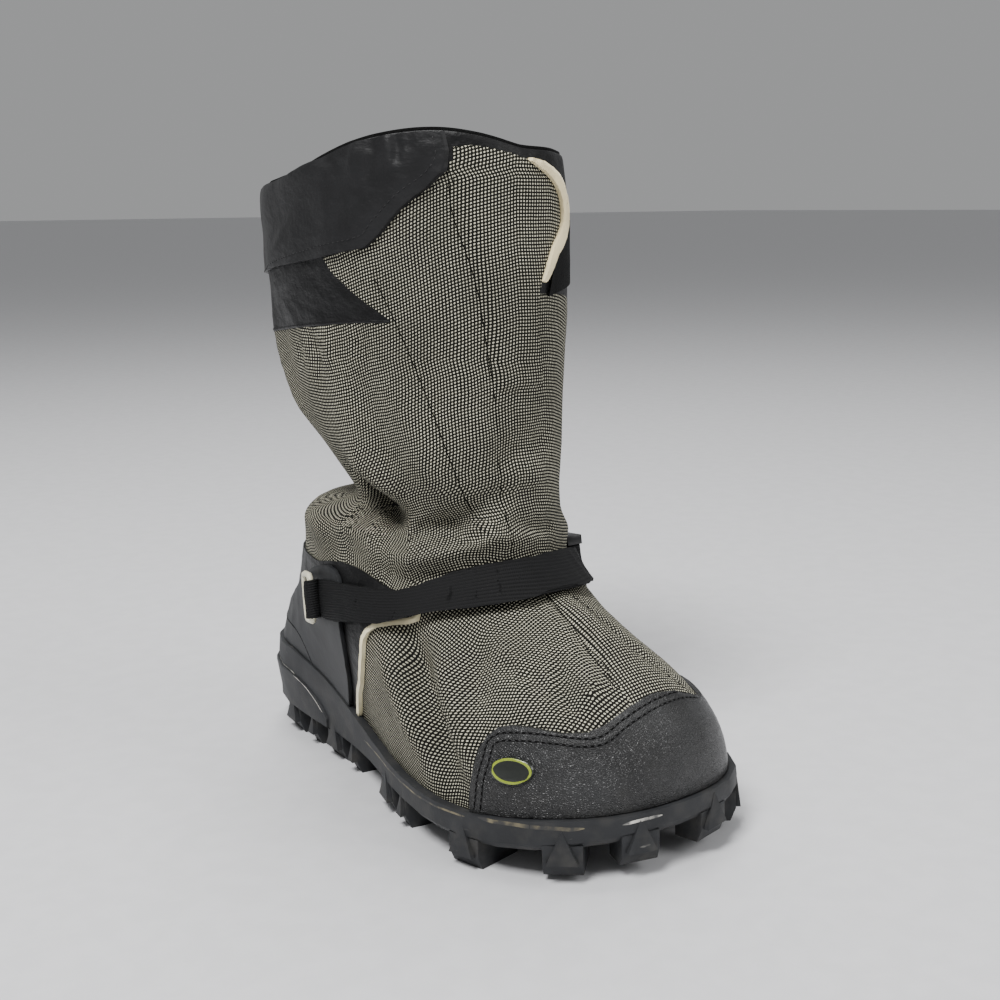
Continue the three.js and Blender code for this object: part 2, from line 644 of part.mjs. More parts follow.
const blockOn = (frame, size, along, up, out) => solid(placeOn(new THREE.BoxGeometry(...size), frame, along, up, out));
const rodOn = (frame, radius, length, along, out) => solid(
  placeOn(new THREE.CylinderGeometry(radius, radius, length, 12), frame, along, 0, out));

// A closed ring of round wire through points.
function wireRing(points, radius, sides) {
  const count = points.length;
  const middle = points.reduce((sum, p) => sum.add(p), new THREE.Vector3()).divideScalar(count);
  const flat = points[0].clone().sub(middle).cross(points[Math.floor(count / 4)].clone().sub(middle)).normalize();
  const vertices = points.flatMap((point, i) => {
    const along = points[(i + 1) % count].clone().sub(points[(i + count - 1) % count]).normalize();
    const away = along.clone().cross(flat).normalize();
    return Array.from({ length: sides }, (_, k) => {
      const angle = 2 * Math.PI * k / sides;
      return point.clone().addScaledVector(away, radius * Math.cos(angle)).addScaledVector(flat, radius * Math.sin(angle));
    });
  });
  const faces = [];
  for (let i = 0; i < count; i += 1) {
    for (let k = 0; k < sides; k += 1) {
      const a = i * sides + k;
      const b = i * sides + (k + 1) % sides;
      const c = ((i + 1) % count) * sides + k;
      const d = ((i + 1) % count) * sides + (k + 1) % sides;
      faces.push([a, d, b], [a, c, d]);
    }
  }
  return geometryFrom(vertices, faces);
}

// The webbing's outer radius where it folds round a bar, and the height of such bars over the
// upper.
const FOLD_RADIUS = LOOP_WIRE / 2 + FIT_GAP + WEBBING_THICKNESS;
const ON_WEBBING = ON_COUNTER + FOLD_RADIUS + 2 * FIT_GAP;

// A loop for webbing, on the ear of the counter: a rounded oblong of wire whose front bar the
// webbing folds round.
const LOOP_AT = { at: 0.372, height: 0.800, tilt: 0.16 };
const loopFrame = (side) => frameOn(
  alongSole(LOOP_AT.at), LOOP_AT.height * INSTEP_HEIGHT, side, ON_WEBBING, LOOP_AT.tilt);

function strapLoop(side) {
  const frame = loopFrame(side);
  const forward = -side;
  const squareness = 0.35;
  const points = Array.from({ length: 24 }, (_, i) => {
    const angle = 2 * Math.PI * i / 24;
    const round = (value) => Math.sign(value) * Math.abs(value) ** squareness;
    const a = forward * (round(Math.cos(angle)) - 1) * (LOOP_LENGTH - LOOP_WIRE) / 2;
    const lift = -(FOLD_RADIUS - LOOP_WIRE / 2) * clamp(-forward * a / (LOOP_LENGTH - LOOP_WIRE), 0, 1);
    const b = -forward * round(Math.sin(angle)) * (LOOP_WIDTH - LOOP_WIRE) / 2;
    return frame.origin.clone().addScaledVector(frame.along, a).addScaledVector(frame.up, b)
      .addScaledVector(frame.out, lift);
  });
  return wireRing(points, LOOP_WIRE / 2, 6);
}

// The fold of webbing round a bar that runs up the frame at its origin.
const foldRound = (frame) => rodOn(frame, FOLD_RADIUS, WEBBING_WIDTH, 0, 0);
const boreOf = (frame, wire) => rodOn(frame, wire / 2 + 2 * FIT_GAP, WEBBING_WIDTH * 3, 0, 0);

// The strap's middle line seen from the side, and how wide the webbing shows there.
const STRAP_LINE = [
  { at: 0.300, height: 0.775, width: 1.00 },
  { at: 0.386, height: 0.808, width: 1.00 },
  { at: 0.441, height: 0.825, width: 0.97 },
  { at: 0.503, height: 0.848, width: 0.85 },
  { at: 0.562, height: 0.868, width: 0.74 },
  { at: 0.595, height: 0.900, width: 0.76 },
  { at: 0.625, height: 0.932, width: 0.84 },
  { at: 0.654, height: 0.952, width: 0.84 },
  { at: 0.690, height: 0.968, width: 0.80 },
  { at: 0.740, height: 1.000, width: 0.80 },
];

const STRAP_MARGIN = 12;

function strapStrip(fromX, toX) {
  const line = sideLine(STRAP_LINE, 16).filter((p) => p.x > fromX - STRAP_MARGIN && p.x < toX + STRAP_MARGIN);
  const width = (x) => WEBBING_WIDTH * between(STRAP_LINE, 'at', shareAlong(x), 'width') / 2;
  const upper = line.map((p) => [p.x, p.y + width(p.x)]);
  const lower = line.map((p) => [p.x, p.y - width(p.x)]);
  return [...lower, ...upper.reverse()];
}

const strapShell = shell(ON_COUNTER, ON_COUNTER + WEBBING_THICKNESS);
const BUCKLE_TILT = 0.13;
const BUCKLE_AT = { at: 0.500, height: 0.850 };

const buckleFrame = frameOn(
  alongSole(BUCKLE_AT.at), BUCKLE_AT.height * INSTEP_HEIGHT, 1, ON_WEBBING + 2 * FIT_GAP, BUCKLE_TILT);

// A frame that is moved along another one.
const slid = (frame, along) => ({ ...frame, origin: frame.origin.clone().addScaledVector(frame.along, along) });

const socketBar = slid(buckleFrame, SOCKET_LENGTH - BUCKLE_BAR);
const plugBar = slid(buckleFrame, -PLUG_LENGTH + BUCKLE_BAR);

// The buckle's socket: a box with an open mouth, and a slot and a bar for the webbing behind.
function buckleSocket() {
  const slot = 2 * FOLD_RADIUS + 2 * FIT_GAP;
  const size = [SOCKET_LENGTH, BUCKLE_WIDTH, BUCKLE_THICKNESS];
  const body = blockOn(buckleFrame, size, SOCKET_LENGTH / 2, 0, 0);
  const mouthSize = [PRONG_LENGTH + BUCKLE_WALL, BUCKLE_WIDTH - 2 * BUCKLE_WALL, BUCKLE_THICKNESS - 2 * BUCKLE_WALL];
  const mouth = blockOn(buckleFrame, mouthSize, PRONG_LENGTH / 2, 0, 0);
  const gap = blockOn(socketBar, [slot, WEBBING_WIDTH + 2 * FIT_GAP, BUCKLE_THICKNESS * 2], 0, 0, 0);
  const bar = rodOn(socketBar, BUCKLE_BAR / 2, BUCKLE_WIDTH - BUCKLE_WALL, 0, 0);
  return body.subtract(mouth).subtract(gap).add(bar);
}

// The buckle's plug: two side prongs and a guide that stand in the socket, and a bar behind.
function bucklePlug() {
  const slot = 2 * FOLD_RADIUS + 2 * FIT_GAP;
  const length = PLUG_LENGTH - FIT_GAP;
  const middle = -FIT_GAP - length / 2;
  const body = blockOn(buckleFrame, [length, BUCKLE_WIDTH, BUCKLE_THICKNESS - BUCKLE_WALL / 2], middle, 0, 0);
  const gap = blockOn(plugBar, [slot, WEBBING_WIDTH + 2 * FIT_GAP, BUCKLE_THICKNESS * 2], 0, 0, 0);
  const bar = rodOn(plugBar, BUCKLE_BAR / 2, BUCKLE_WIDTH - BUCKLE_WALL, 0, 0);
  const thick = BUCKLE_THICKNESS - 2 * BUCKLE_WALL - 2 * FIT_GAP;
  const prongPlace = BUCKLE_WIDTH / 2 - BUCKLE_WALL - FIT_GAP - PRONG_WIDTH / 2;
  const prongs = [-prongPlace, 0, prongPlace].map((up) => blockOn(
    buckleFrame, [PRONG_LENGTH, PRONG_WIDTH, thick], PRONG_LENGTH / 2 - BUCKLE_WALL, up, 0));
  return prongs.reduce((sum, prong) => sum.add(prong), body.subtract(gap).add(bar));
}

function instepStrap() {
  const from = loopFrame(-1);
  const lateral = solid(sidePrism(strapStrip(from.origin.x, CUT_REACH), -CUT_REACH, 0));
  const medial = solid(sidePrism(strapStrip(plugBar.origin.x, CUT_REACH), 0, CUT_REACH));
  const behind = solid(new THREE.BoxGeometry(CUT_REACH, CUT_REACH * 2, CUT_REACH * 4)
    .translate(from.origin.x - CUT_REACH / 2, -CUT_REACH, 0));
  const beyond = solid(new THREE.BoxGeometry(CUT_REACH, CUT_REACH * 2, CUT_REACH * 4)
    .translate(plugBar.origin.x - CUT_REACH / 2, CUT_REACH, 0));
  const run = strapShell.intersect(lateral.subtract(behind).add(medial.subtract(beyond)));
  return run.add(foldRound(from)).add(foldRound(plugBar)).subtract(boreOf(from, LOOP_WIRE))
    .subtract(boreOf(plugBar, BUCKLE_BAR));
}

function buckleStrap() {
  const from = loopFrame(1);
  const strip = solid(sidePrism(strapStrip(from.origin.x, socketBar.origin.x), 0, CUT_REACH));
  const length = socketBar.origin.x - from.origin.x;
  const span = solid(new THREE.BoxGeometry(length, CUT_REACH * 2, CUT_REACH * 4)
    .translate(from.origin.x + length / 2, CUT_REACH, 0));
  return strapShell.intersect(strip).intersect(span).add(foldRound(from)).add(foldRound(socketBar))
    .subtract(boreOf(from, LOOP_WIRE)).subtract(boreOf(socketBar, BUCKLE_BAR));
}

// The loose end of the strap hangs down the medial side from the buckle.
const TAIL_LINE = [
  { at: 0.600, height: 0.775 },
  { at: 0.606, height: 0.64 },
  { at: 0.618, height: 0.50 },
  { at: 0.636, height: 0.36 },
  { at: 0.648, height: 0.27 },
];

function strapTail() {
  const strip = stripAlong(sideLine(TAIL_LINE, 8), WEBBING_WIDTH * TAIL_NARROWING);
  return shell(ON_UPPER, ON_UPPER + WEBBING_THICKNESS).intersect(solid(sidePrism(strip, 0, CUT_REACH)));
}

// The badge's place on the cap: a plain oval.
function badge() {
  const centre = { at: 0.861, height: 0.412 };
  const oval = Array.from({ length: 24 }, (_, i) => {
    const angle = 2 * Math.PI * i / 24;
    return [alongSole(centre.at) + BADGE_LENGTH / 2 * Math.cos(angle),
      centre.height * INSTEP_HEIGHT + BADGE_HEIGHT / 2 * Math.sin(angle)];
  });
  return shell(ON_CAP, ON_CAP + BADGE_THICKNESS).intersect(solid(sidePrism(oval, -CUT_REACH, 0)));
}

// The collar's strap on the lateral side, with its pointed end near the front.
const COLLAR_STRAP = [
  { along: 0.96, height: 0.790 },
  { along: 0.554, height: 0.820 },
  { along: 0.371, height: 0.833 },
  { along: 0.215, height: 0.850 },
  { along: 0.177, height: 0.870 },
  { along: 0.129, height: 0.905 },
  { along: 0.075, height: 0.934 },
  { along: 0.046, height: 0.957 },
  { along: 0.044, height: 0.985 },
  { along: 0.060, height: 1.040 },
  { along: 0.96, height: 1.040 },
];

// The largest of a shape's separate bodies, without the slivers of a grazing cut.
const largestBody = (shape) => shape.decompose().reduce(
  (best, body) => (body.volume() > best.volume() ? body : best));

function collarStrap() {
  const outline = COLLAR_STRAP.map((row) => [SHAFT_FRONT - row.along * SHAFT_DEPTH, row.height * COLLAR_HEIGHT]);
  return largestBody(
    shell(ON_UPPER, ON_UPPER + COLLAR_STRAP_THICKNESS).intersect(solid(sidePrism(outline, -CUT_REACH, 0))));
}

// A prism along the foot from an outline seen from the front, as y and z in millimetres.
function frontPrism(points, fromX, toX) {
  const shape = new THREE.Shape(points.map(([y, z]) => new THREE.Vector2(y, z)));
  const geometry = new THREE.ExtrudeGeometry(shape, { depth: toX - fromX, bevelEnabled: false });
  geometry.rotateZ(Math.PI / 2);
  geometry.rotateY(Math.PI / 2);
  geometry.translate(fromX, 0, 0);
  return geometry;
}

// The closure flap seen from the front, from the foot of its free edge up and over to the seam
// that holds it: across is a share of the shaft's width towards the medial side, height of the
// collar's height. The bound rows carry the elastic binding.
const FLAP_EDGE = [
  { across: 0.121, height: 0.635, bound: false },
  { across: 0.092, height: 0.720, bound: false },
  { across: 0.090, height: 0.770, bound: false },
  { across: 0.108, height: 0.800, bound: true },
  { across: 0.155, height: 0.840, bound: true },
  { across: 0.200, height: 0.863, bound: true },
  { across: 0.232, height: 0.885, bound: true },
  { across: 0.228, height: 0.912, bound: true },
  { across: 0.195, height: 0.935, bound: true },
  { across: 0.145, height: 0.953, bound: true },
  { across: 0.065, height: 0.970, bound: true },
  { across: -0.040, height: 0.984, bound: false },
  { across: -0.140, height: 0.992, bound: false },
];
const FLAP_SEAM = [
  { across: -0.205, height: 0.990, bound: false },
  { across: -0.200, height: 0.905, bound: false },
  { across: -0.160, height: 0.835, bound: false },
  { across: -0.128, height: 0.776, bound: false },
  { across: -0.100, height: 0.690, bound: false },
  { across: -0.080, height: 0.635, bound: false },
];
const MID_SHAFT = SHAFT_FRONT - SHAFT_DEPTH / 2;

const frontLine = (rows, steps) => new THREE.SplineCurve(
  rows.map((row) => new THREE.Vector2(row.across * SHAFT_WIDTH, row.height * COLLAR_HEIGHT))).getPoints(steps);

function closureFlap() {
  const outline = asPairs([...frontLine(FLAP_EDGE, 20), ...frontLine(FLAP_SEAM, 6)]);
  const region = solid(frontPrism(outline, MID_SHAFT, CUT_REACH * 2));
  return largestBody(shell(ON_UPPER, ON_UPPER + FLAP_THICKNESS).intersect(region));
}

const BINDING_END = 0.12;

// The elastic binding on the flap's free edge, widest in its middle. BINDING_END is the share of
// its width at its two ends.
function flapBinding() {
  const line = frontLine(FLAP_EDGE.filter((row) => row.bound), 12);
  const inner = stripAlong(line, 2 * FIT_GAP).slice(line.length).reverse();
  const outer = line.map((p, i) => {
    const swell = Math.sin(Math.PI * i / (line.length - 1)) ** 0.5;
    const width = 2 * FIT_GAP + 2 * BINDING_WIDTH * Math.max(swell, BINDING_END);
    return stripAlong(line, width).slice(line.length).reverse()[i];
  });
  const region = solid(frontPrism([...inner, ...outer.reverse()], MID_SHAFT, CUT_REACH * 2));
  return largestBody(shell(ON_UPPER, ON_UPPER + BINDING_THICKNESS).intersect(region));
}

// The patch of hook tape beside the flap's free edge, seen from the front.
const HOOK_PATCH = [
  { across: 0.150, height: 0.775 },
  { across: 0.360, height: 0.790 },
  { across: 0.360, height: 0.885 },
  { across: 0.310, height: 0.880 },
  { across: 0.250, height: 0.850 },
  { across: 0.190, height: 0.825 },
];

function hookPatch() {
  const outline = HOOK_PATCH.map((row) => [row.across * SHAFT_WIDTH, row.height * COLLAR_HEIGHT]);
  const region = solid(frontPrism(outline, MID_SHAFT, CUT_REACH * 2));
  return largestBody(shell(ON_UPPER, ON_UPPER + PATCH_THICKNESS).intersect(region));
}

// The inner band that stands a little above the collar, inside the upper.
function collarBand() {
  const [seam, rim] = outerRings.slice(-2);
  const rings = [-COLLAR_BAND_DEPTH, -COLLAR_BAND_DEPTH / 2, 0].map((below) => rim.map((top, j) => {
    const share = below / (top.z - seam[j].z);
    return top.clone().lerp(seam[j], Math.min(-share, 1)).setZ(top.z + below + COLLAR_BAND_RISE);
  }));
  const outer = offsetRings(rings, -UPPER_WALL - 3 * FIT_GAP);
  const inner = offsetRings(rings, -UPPER_WALL - 3 * FIT_GAP - COLLAR_BAND_THICKNESS);
  return openWall(outer, inner);
}

// The insole lies in the upper, on the sole's floor.
function insole() {
  const clear = UPPER_WALL + 4 * FIT_GAP;
  const ring = offsetRings(outerRings, -clear)[0];
  return closedForm([
    lowered(ring, (p) => SOLE_FLOOR + FIT_GAP + springAt(p.x)),
    lowered(ring, (p) => SOLE_FLOOR + FIT_GAP + INSOLE_THICKNESS + springAt(p.x)),
  ]);
}

const group = new THREE.Group();

function addMesh(name, shape, colour, roughness, metalness = 0) {
  const geometry = shape.isBufferGeometry ? shape : geometryOf(shape);
  const flat = geometry.index ? geometry.toNonIndexed() : geometry;
  flat.computeVertexNormals();
  const mesh = new THREE.Mesh(flat, new THREE.MeshStandardMaterial({ color: colour, roughness, metalness }));
  mesh.name = name;
  group.add(mesh);
}

const RUBBER = 0x37383a;
const FABRIC = 0x5a5a50;
const NYLON = 0x232427;
const IVORY = 0xdcd8c4;

addMesh('outsole', outsole(), RUBBER, 0.7);
addMesh('insole', insole(), NYLON, 0.9);
addMesh('upper', openWall(upperOuter, upperInner), FABRIC, 0.9);
addMesh('toe_cap', toeCap(), RUBBER, 0.6);
addMesh('badge', badge(), NYLON, 0.4);
addMesh('heel_panel', heelPanel(), NYLON, 0.8);
addMesh('heel_counter', heelCounter(), RUBBER, 0.6);
addMesh('piping_lateral', piping(-1), IVORY, 0.8);
addMesh('piping_medial', piping(1), IVORY, 0.8);
addMesh('strap_loop_lateral', strapLoop(-1), IVORY, 0.5);
addMesh('strap_loop_medial', strapLoop(1), IVORY, 0.5);
addMesh('instep_strap', instepStrap(), NYLON, 0.8);
addMesh('buckle_strap', buckleStrap(), NYLON, 0.8);
addMesh('buckle_socket', buckleSocket(), NYLON, 0.4);
addMesh('buckle_plug', bucklePlug(), NYLON, 0.4);
addMesh('collar_strap', collarStrap(), NYLON, 0.7);
addMesh('collar_band', collarBand(), NYLON, 0.8);
addMesh('closure_flap', closureFlap(), FABRIC, 0.9);
addMesh('flap_binding', flapBinding(), IVORY, 0.8);
addMesh('hook_patch', hookPatch(), NYLON, 0.9);
addMesh('strap_tail', strapTail(), NYLON, 0.8);

export default group;
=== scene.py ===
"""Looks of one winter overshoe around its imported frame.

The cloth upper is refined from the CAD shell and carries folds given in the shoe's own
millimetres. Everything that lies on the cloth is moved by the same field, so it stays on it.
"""

from __future__ import annotations

import json
import logging
import math
from dataclasses import dataclass
from enum import Enum
from typing import Callable, Iterable, Sequence

import bmesh
import bpy
import numpy as np
from mathutils import Matrix, Vector, noise
from mathutils.bvhtree import BVHTree

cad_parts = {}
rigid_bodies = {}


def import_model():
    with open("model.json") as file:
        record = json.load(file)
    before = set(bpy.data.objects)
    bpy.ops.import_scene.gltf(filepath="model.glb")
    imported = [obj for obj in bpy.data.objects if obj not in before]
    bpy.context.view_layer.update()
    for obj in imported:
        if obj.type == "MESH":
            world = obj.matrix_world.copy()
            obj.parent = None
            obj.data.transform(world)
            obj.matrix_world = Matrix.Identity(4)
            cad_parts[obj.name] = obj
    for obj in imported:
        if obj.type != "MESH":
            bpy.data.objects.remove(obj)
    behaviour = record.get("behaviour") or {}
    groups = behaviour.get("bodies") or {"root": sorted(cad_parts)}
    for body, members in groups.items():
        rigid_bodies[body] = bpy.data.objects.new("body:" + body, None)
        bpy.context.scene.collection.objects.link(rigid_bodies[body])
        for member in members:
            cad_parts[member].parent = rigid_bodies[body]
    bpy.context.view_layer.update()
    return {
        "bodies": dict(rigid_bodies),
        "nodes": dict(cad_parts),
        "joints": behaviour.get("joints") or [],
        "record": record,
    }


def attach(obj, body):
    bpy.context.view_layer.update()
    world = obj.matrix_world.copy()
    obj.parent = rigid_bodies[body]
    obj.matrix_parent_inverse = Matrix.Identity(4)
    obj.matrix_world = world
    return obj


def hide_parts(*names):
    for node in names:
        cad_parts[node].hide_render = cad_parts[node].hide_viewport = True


LOG = logging.getLogger("overshoe")
MM = 0.001
Line = Sequence[tuple[float, float, float]]
Outline = Sequence[tuple[float, float]]
Socket = bpy.types.NodeSocket


class Side(Enum):
    """The two sides of the shoe."""

    LATERAL = -1
    MEDIAL = 1


@dataclass(frozen=True)
class Fold:
    """A soft ridge or trough of the cloth along a line, in millimetres.

    A positive height is a ridge and a negative one a trough.
    """

    line: Line
    width: float
    height: float


@dataclass(frozen=True)
class View:
    """Where the camera stands and looks, in millimetres and degrees."""

    place: tuple[float, float, float] = (683.0, -366.9, 277.1)
    forward: tuple[float, float, float] = (-0.7355, 0.6447, -0.2085)
    roll: float = -0.5
    lens: float = 50.4
    shift: float = -0.155


FOLDS: tuple[Fold, ...] = (
    # Pocket where the shaft sinks into the heel, with its lip and rays
    Fold(((98, -44, 153), (105, -43, 148), (112, -40, 141), (124, -41, 133), (137, -42, 128)), 7, -17),
    Fold(((137, -42, 128), (149, -32, 131), (159, -20, 135)), 6, -8),
    Fold(((100, -46, 163), (116, -46, 153), (134, -44, 141)), 7, 7),
    Fold(((92, -46, 147), (101, -44, 143), (110, -42, 138)), 3.2, 3),
    Fold(((88, -48, 140), (98, -46, 136), (112, -44, 131)), 3.2, -3.4),
    Fold(((84, -50, 133), (98, -49, 128), (112, -47, 124)), 4, 2.6),
    Fold(((50, -38, 134), (70, -46, 130), (90, -52, 122)), 11, 5),
    # Roll of cloth between the pocket and the strap
    Fold(((118, -49, 119), (136, -42, 117), (152, -31, 119), (166, -12, 124), (168, 14, 124)), 7, 8.5),
    Fold(((110, -50, 109), (135, -45, 107), (150, -35, 109), (160, -22, 113)), 4, -2.4),
    Fold(((156, -28, 118), (158, -25, 125), (159, -21, 133), (161, -18, 139), (167, -10, 146),
          (171, 0, 152)), 5.5, -3.4),
    Fold(((164, -20, 126), (167, -12, 134), (171, -3, 141)), 6, 3.2),
    Fold(((170, 0, 131), (169, 12, 129), (163, 26, 128)), 4, -3.6),
    Fold(((163, 27, 172), (169, 10, 170), (170, -1, 166), (166, -14, 159)), 8, -4),
    Fold(((168, 18, 150), (171, 4, 156), (168, -8, 152)), 6, 3.2),
    # Soft folds of the shaft
    Fold(((83, -56, 219), (87, -56, 211), (91, -55, 198)), 4, -3),
    Fold(((97, -56, 218), (99, -55, 205)), 3.5, 2.2),
    Fold(((119, -51, 223), (121, -50, 215), (125, -48, 204)), 4, -2.4),
    Fold(((70, -56, 216), (72, -56, 199)), 4, -2),
    Fold(((114, -51, 205), (128, -47, 172), (138, -39, 149)), 10, -4),
    Fold(((134, -45, 203), (146, -38, 169), (151, -30, 143)), 6, 3),
    Fold(((161, -25, 228), (163, -19, 191), (167, -13, 159)), 6, 3),
    Fold(((30, -40, 240), (40, -44, 200), (62, -46, 165)), 9, 3.5),
    Fold(((100, -56, 250), (120, -51, 262), (135, -46, 280)), 9, 2.2),
    Fold(((150, -33, 292), (158, -27, 262), (161, -24, 235)), 7, -2.2),
    # Inner side of the shaft, which the picture doesn't show
    Fold(((98, 46, 152), (112, 44, 140), (138, 40, 130)), 6, -7),
    Fold(((112, 48, 119), (140, 42, 118), (158, 28, 122)), 8, 4.6),
    Fold(((50, 38, 134), (66, 46, 131), (82, 50, 126)), 12, 4),
    Fold(((58, 44, 240), (78, 48, 200), (100, 46, 165)), 9, -3.6),
    Fold(((120, 50, 232), (128, 47, 205), (134, 43, 180)), 7, 3),
    Fold(((20, -8, 240), (38, -4, 200), (58, -8, 168)), 10, -3),
    Fold(((-6, -6, 262), (2, 12, 236)), 9, 1.8),
    # Big trough that falls from the strap to the sole, and the ridges beside it
    Fold(((150, -52, 94), (165, -58, 76), (184, -62, 56), (206, -62, 31)), 8, -12),
    Fold(((138, -57, 83), (157, -62, 62), (180, -65, 41)), 7, 3.4),
    Fold(((172, -48, 88), (190, -56, 68), (211, -60, 44)), 6, 5),
    Fold(((185, -38, 91), (198, -45, 78), (208, -51, 64)), 5, -3),
    Fold(((192, -32, 91), (213, -35, 80), (226, -41, 67)), 6, 2.4),
    # Small wrinkles behind the toe cap
    Fold(((195, -37, 84), (205, -36, 81), (216, -33, 77), (232, -28, 72), (238, -30, 66)), 3.2, -2.4),
    Fold(((222, -20, 85), (236, -26, 75), (245, -30, 66)), 3.4, -2.8),
    Fold(((236, -13, 80), (246, -19, 71)), 3.4, 2.4),
    Fold(((196, 4, 103), (222, 5, 95), (246, 6, 84)), 8, 2.8),
    Fold(((192, -2, 103), (210, -3, 96), (228, -6, 87), (245, -7, 78)), 3, -2),
    Fold(((203, 11, 99), (228, 14, 87), (245, 22, 76)), 3, -2),
    Fold(((150, 50, 91), (175, 57, 66), (198, 59, 40)), 7, -4.4),
    Fold(((172, 47, 87), (196, 53, 60)), 6, 3.2),
)

# Crumples of the collar strap alone
STRAP_FOLDS: tuple[Fold, ...] = (
    Fold(((128, -50, 309), (126, -51, 299), (123, -52, 288)), 2.6, 1.3),
    Fold(((134, -48, 309), (135, -47, 298), (131, -48, 284)), 2.4, -1.2),
    Fold(((140, -45, 309), (142, -43, 297), (145, -41, 289)), 2.6, 1.2),
    Fold(((149, -38, 309), (150, -37, 299)), 2.4, -1.0),
    Fold(((144, -42, 309), (146, -41, 301), (144, -42, 292)), 2.2, -1.4),
    Fold(((60, -58, 300), (84, -58, 292), (104, -56, 294)), 7, 1.8),
    Fold(((20, -45, 262), (50, -56, 268), (88, -58, 276)), 8, -1.6),
    Fold(((96, -57, 304), (112, -55, 296), (122, -52, 284)), 5, -1.5),
    Fold(((40, -55, 246), (60, -58, 256), (76, -58, 270)), 5, 1.3),
)

# Seams on the upper
SEAMS: dict[str, Line] = {
    "seam_side": ((131, -48, 247), (143, -40, 216), (151, -33, 187), (157, -28, 164), (159, -22, 146),
                  (161, -18, 139)),
    "seam_front": ((161, -26, 299), (162, -25.4, 275), (166, -20.4, 254), (168, -16.4, 236),
                   (168, -12.9, 210), (168, -10.4, 193), (168, -9.2, 176), (168, -8, 154), (168, -7, 132),
                   (171, -6, 118)),
    "seam_vamp_outer": ((186, -2, 107), (192, -2, 103), (210, -3, 96), (228, -6, 87), (246, -7, 78)),
    "seam_vamp_inner": ((196, 9, 103), (203, 11, 99), (228, 14, 87), (245, 22, 76), (252, 29, 68)),
}

# The sewn edges of the closure flap seen from the front, as places across and up
FLAP_SEWN: Outline = (
    (-25.4, 301), (-24.8, 275), (-19.8, 254), (-15.9, 236), (-12.4, 210), (-9.9, 193), (15, 193))

# Where the upper is black nylon, seen from each side as places along and up
# The lateral stretch from (101, 256) to (168, 297) runs just under the collar strap's lower edge, so there
# the black nylon is partly the real yoke and partly painted shade of the strap
LATERAL_NYLON_AND_SHADE: Outline = (
    (-60, 213), (0, 213), (55, 219), (113, 225), (138, 226), (120, 238), (109, 246), (101, 256),
    (128, 264), (136, 272), (146, 283), (154, 292), (168, 297), (168, 330), (-60, 330))
MEDIAL_NYLON: Outline = (
    (-60, 213), (0, 213), (60, 220), (120, 226), (150, 231), (166, 236), (190, 240), (190, 330),
    (-60, 330))

# Where its front is black nylon, seen from the front as places across and up
FRONT_NYLON: Outline = (
    (-26, 330), (-26, 297), (-17, 297), (-5, 295), (8, 291), (16, 286), (24, 276), (24, 262),
    (18, 248), (10, 237), (60, 237), (60, 330))

# Shares of a fold's length over which it runs out, and of its height that is left at its ends
FOLD_RUNOUT = 0.3
FOLD_END = 0.25

# Width and height of the ripples that all cloth has, in millimetres
RIPPLES = ((22, 0.7), (9, 0.22))

# How far from a line its surface is looked for, in millimetres
SURFACE_REACH = 12

# Edges sharper than this many degrees are rounded where a piece takes a rounding
ROUNDED_FROM = 32

# Settings of nodes that map a value softly or mix two colours
SOFT = {"interpolation_type": "SMOOTHSTEP"}
COLOUR = {"data_type": "RGBA", "output": 2}

# Lines on the pieces, in the shoe's own millimetres
CAP_EDGE: Line = (
    (215, -61, 26), (216, -61, 33), (216, -59, 41), (217, -57, 49), (217, -54, 56), (219, -51, 59),
    (223, -48, 61), (233, -42, 62), (244, -35, 62), (251, -28, 61), (255, -23, 62), (256, -15, 66),
    (257, -4, 70), (256, 7, 71), (254, 19, 70), (252, 30, 67))
COUNTER_LINE: Line = (
    (-3, -34, 52), (-5, -33, 62), (2, -38, 64), (14, -44, 63), (34, -50, 62), (46, -52, 56), (53, -53, 47))
STRAP_STITCHES: Line = (
    (0, -46, 243), (40, -58, 248), (98, -58, 258), (127, -52, 263), (134, -48, 270), (144, -42, 281),
    (153, -34, 289), (157, -30, 296), (156, -30, 304))
YOKE_EDGE: Line = ((0, -40, 213), (55, -53, 219), (113, -53, 225), (137, -44, 226))
BADGE_RIM: Line = tuple(
    (233.5 - 7.5 * math.cos(t), -53.5 - 4.6 * math.cos(t), 46.6 + 4.9 * math.sin(t))
    for t in (math.radians(a) for a in range(0, 361, 20)))
# Middles of the straps, from which their ribs take their run
WEBBING_LINES: dict[str, Line] = {
    "instep_strap": (
        (80, -60, 89), (105, -58, 94), (124, -56, 96), (140, -50, 98), (149, -44, 100), (158, -36, 103),
        (168, -25, 106), (177, -12, 108), (181, 2, 108), (176, 18, 106), (160, 38, 102), (140, 52, 98)),
    "buckle_strap": ((78, 62, 90), (92, 63, 92), (106, 62, 93)),
    "strap_tail": ((150, 52, 88), (158, 54, 66), (168, 52, 44), (174, 50, 28)),
}
# Marks on the sole's side: their line, width and finish
WEAR: dict[str, tuple[Line, float, str]] = {
    "glue_smear": (((222, -63, 25), (240, -57, 25), (252, -48, 25), (262, -38, 25)), 1.7, "glue"),
    "glue_trace": (((110, -52, 24), (140, -60, 23), (180, -66, 23), (215, -64, 24)), 0.9, "glue"),
    "toe_scuff": (((270, -24, 25), (274, -14, 26), (275, -6, 26)), 1.3, "scuff"),
    "heel_scuff": (((3, -42, 37), (25, -46, 36), (42, -47, 33), (50, -47, 29), (58, -48, 22)), 0.8, "scuff"),
}


def linear(hex_colour: str) -> tuple[float, float, float, float]:
    """Turns a colour written as #rrggbb into the linear RGBA that a node socket takes."""
    parts = [int(hex_colour[i:i + 2], 16) / 255 for i in (1, 3, 5)]
    red, green, blue = (c / 12.92 if c <= 0.04045 else ((c + 0.055) / 1.055) ** 2.4 for c in parts)
    return red, green, blue, 1.0


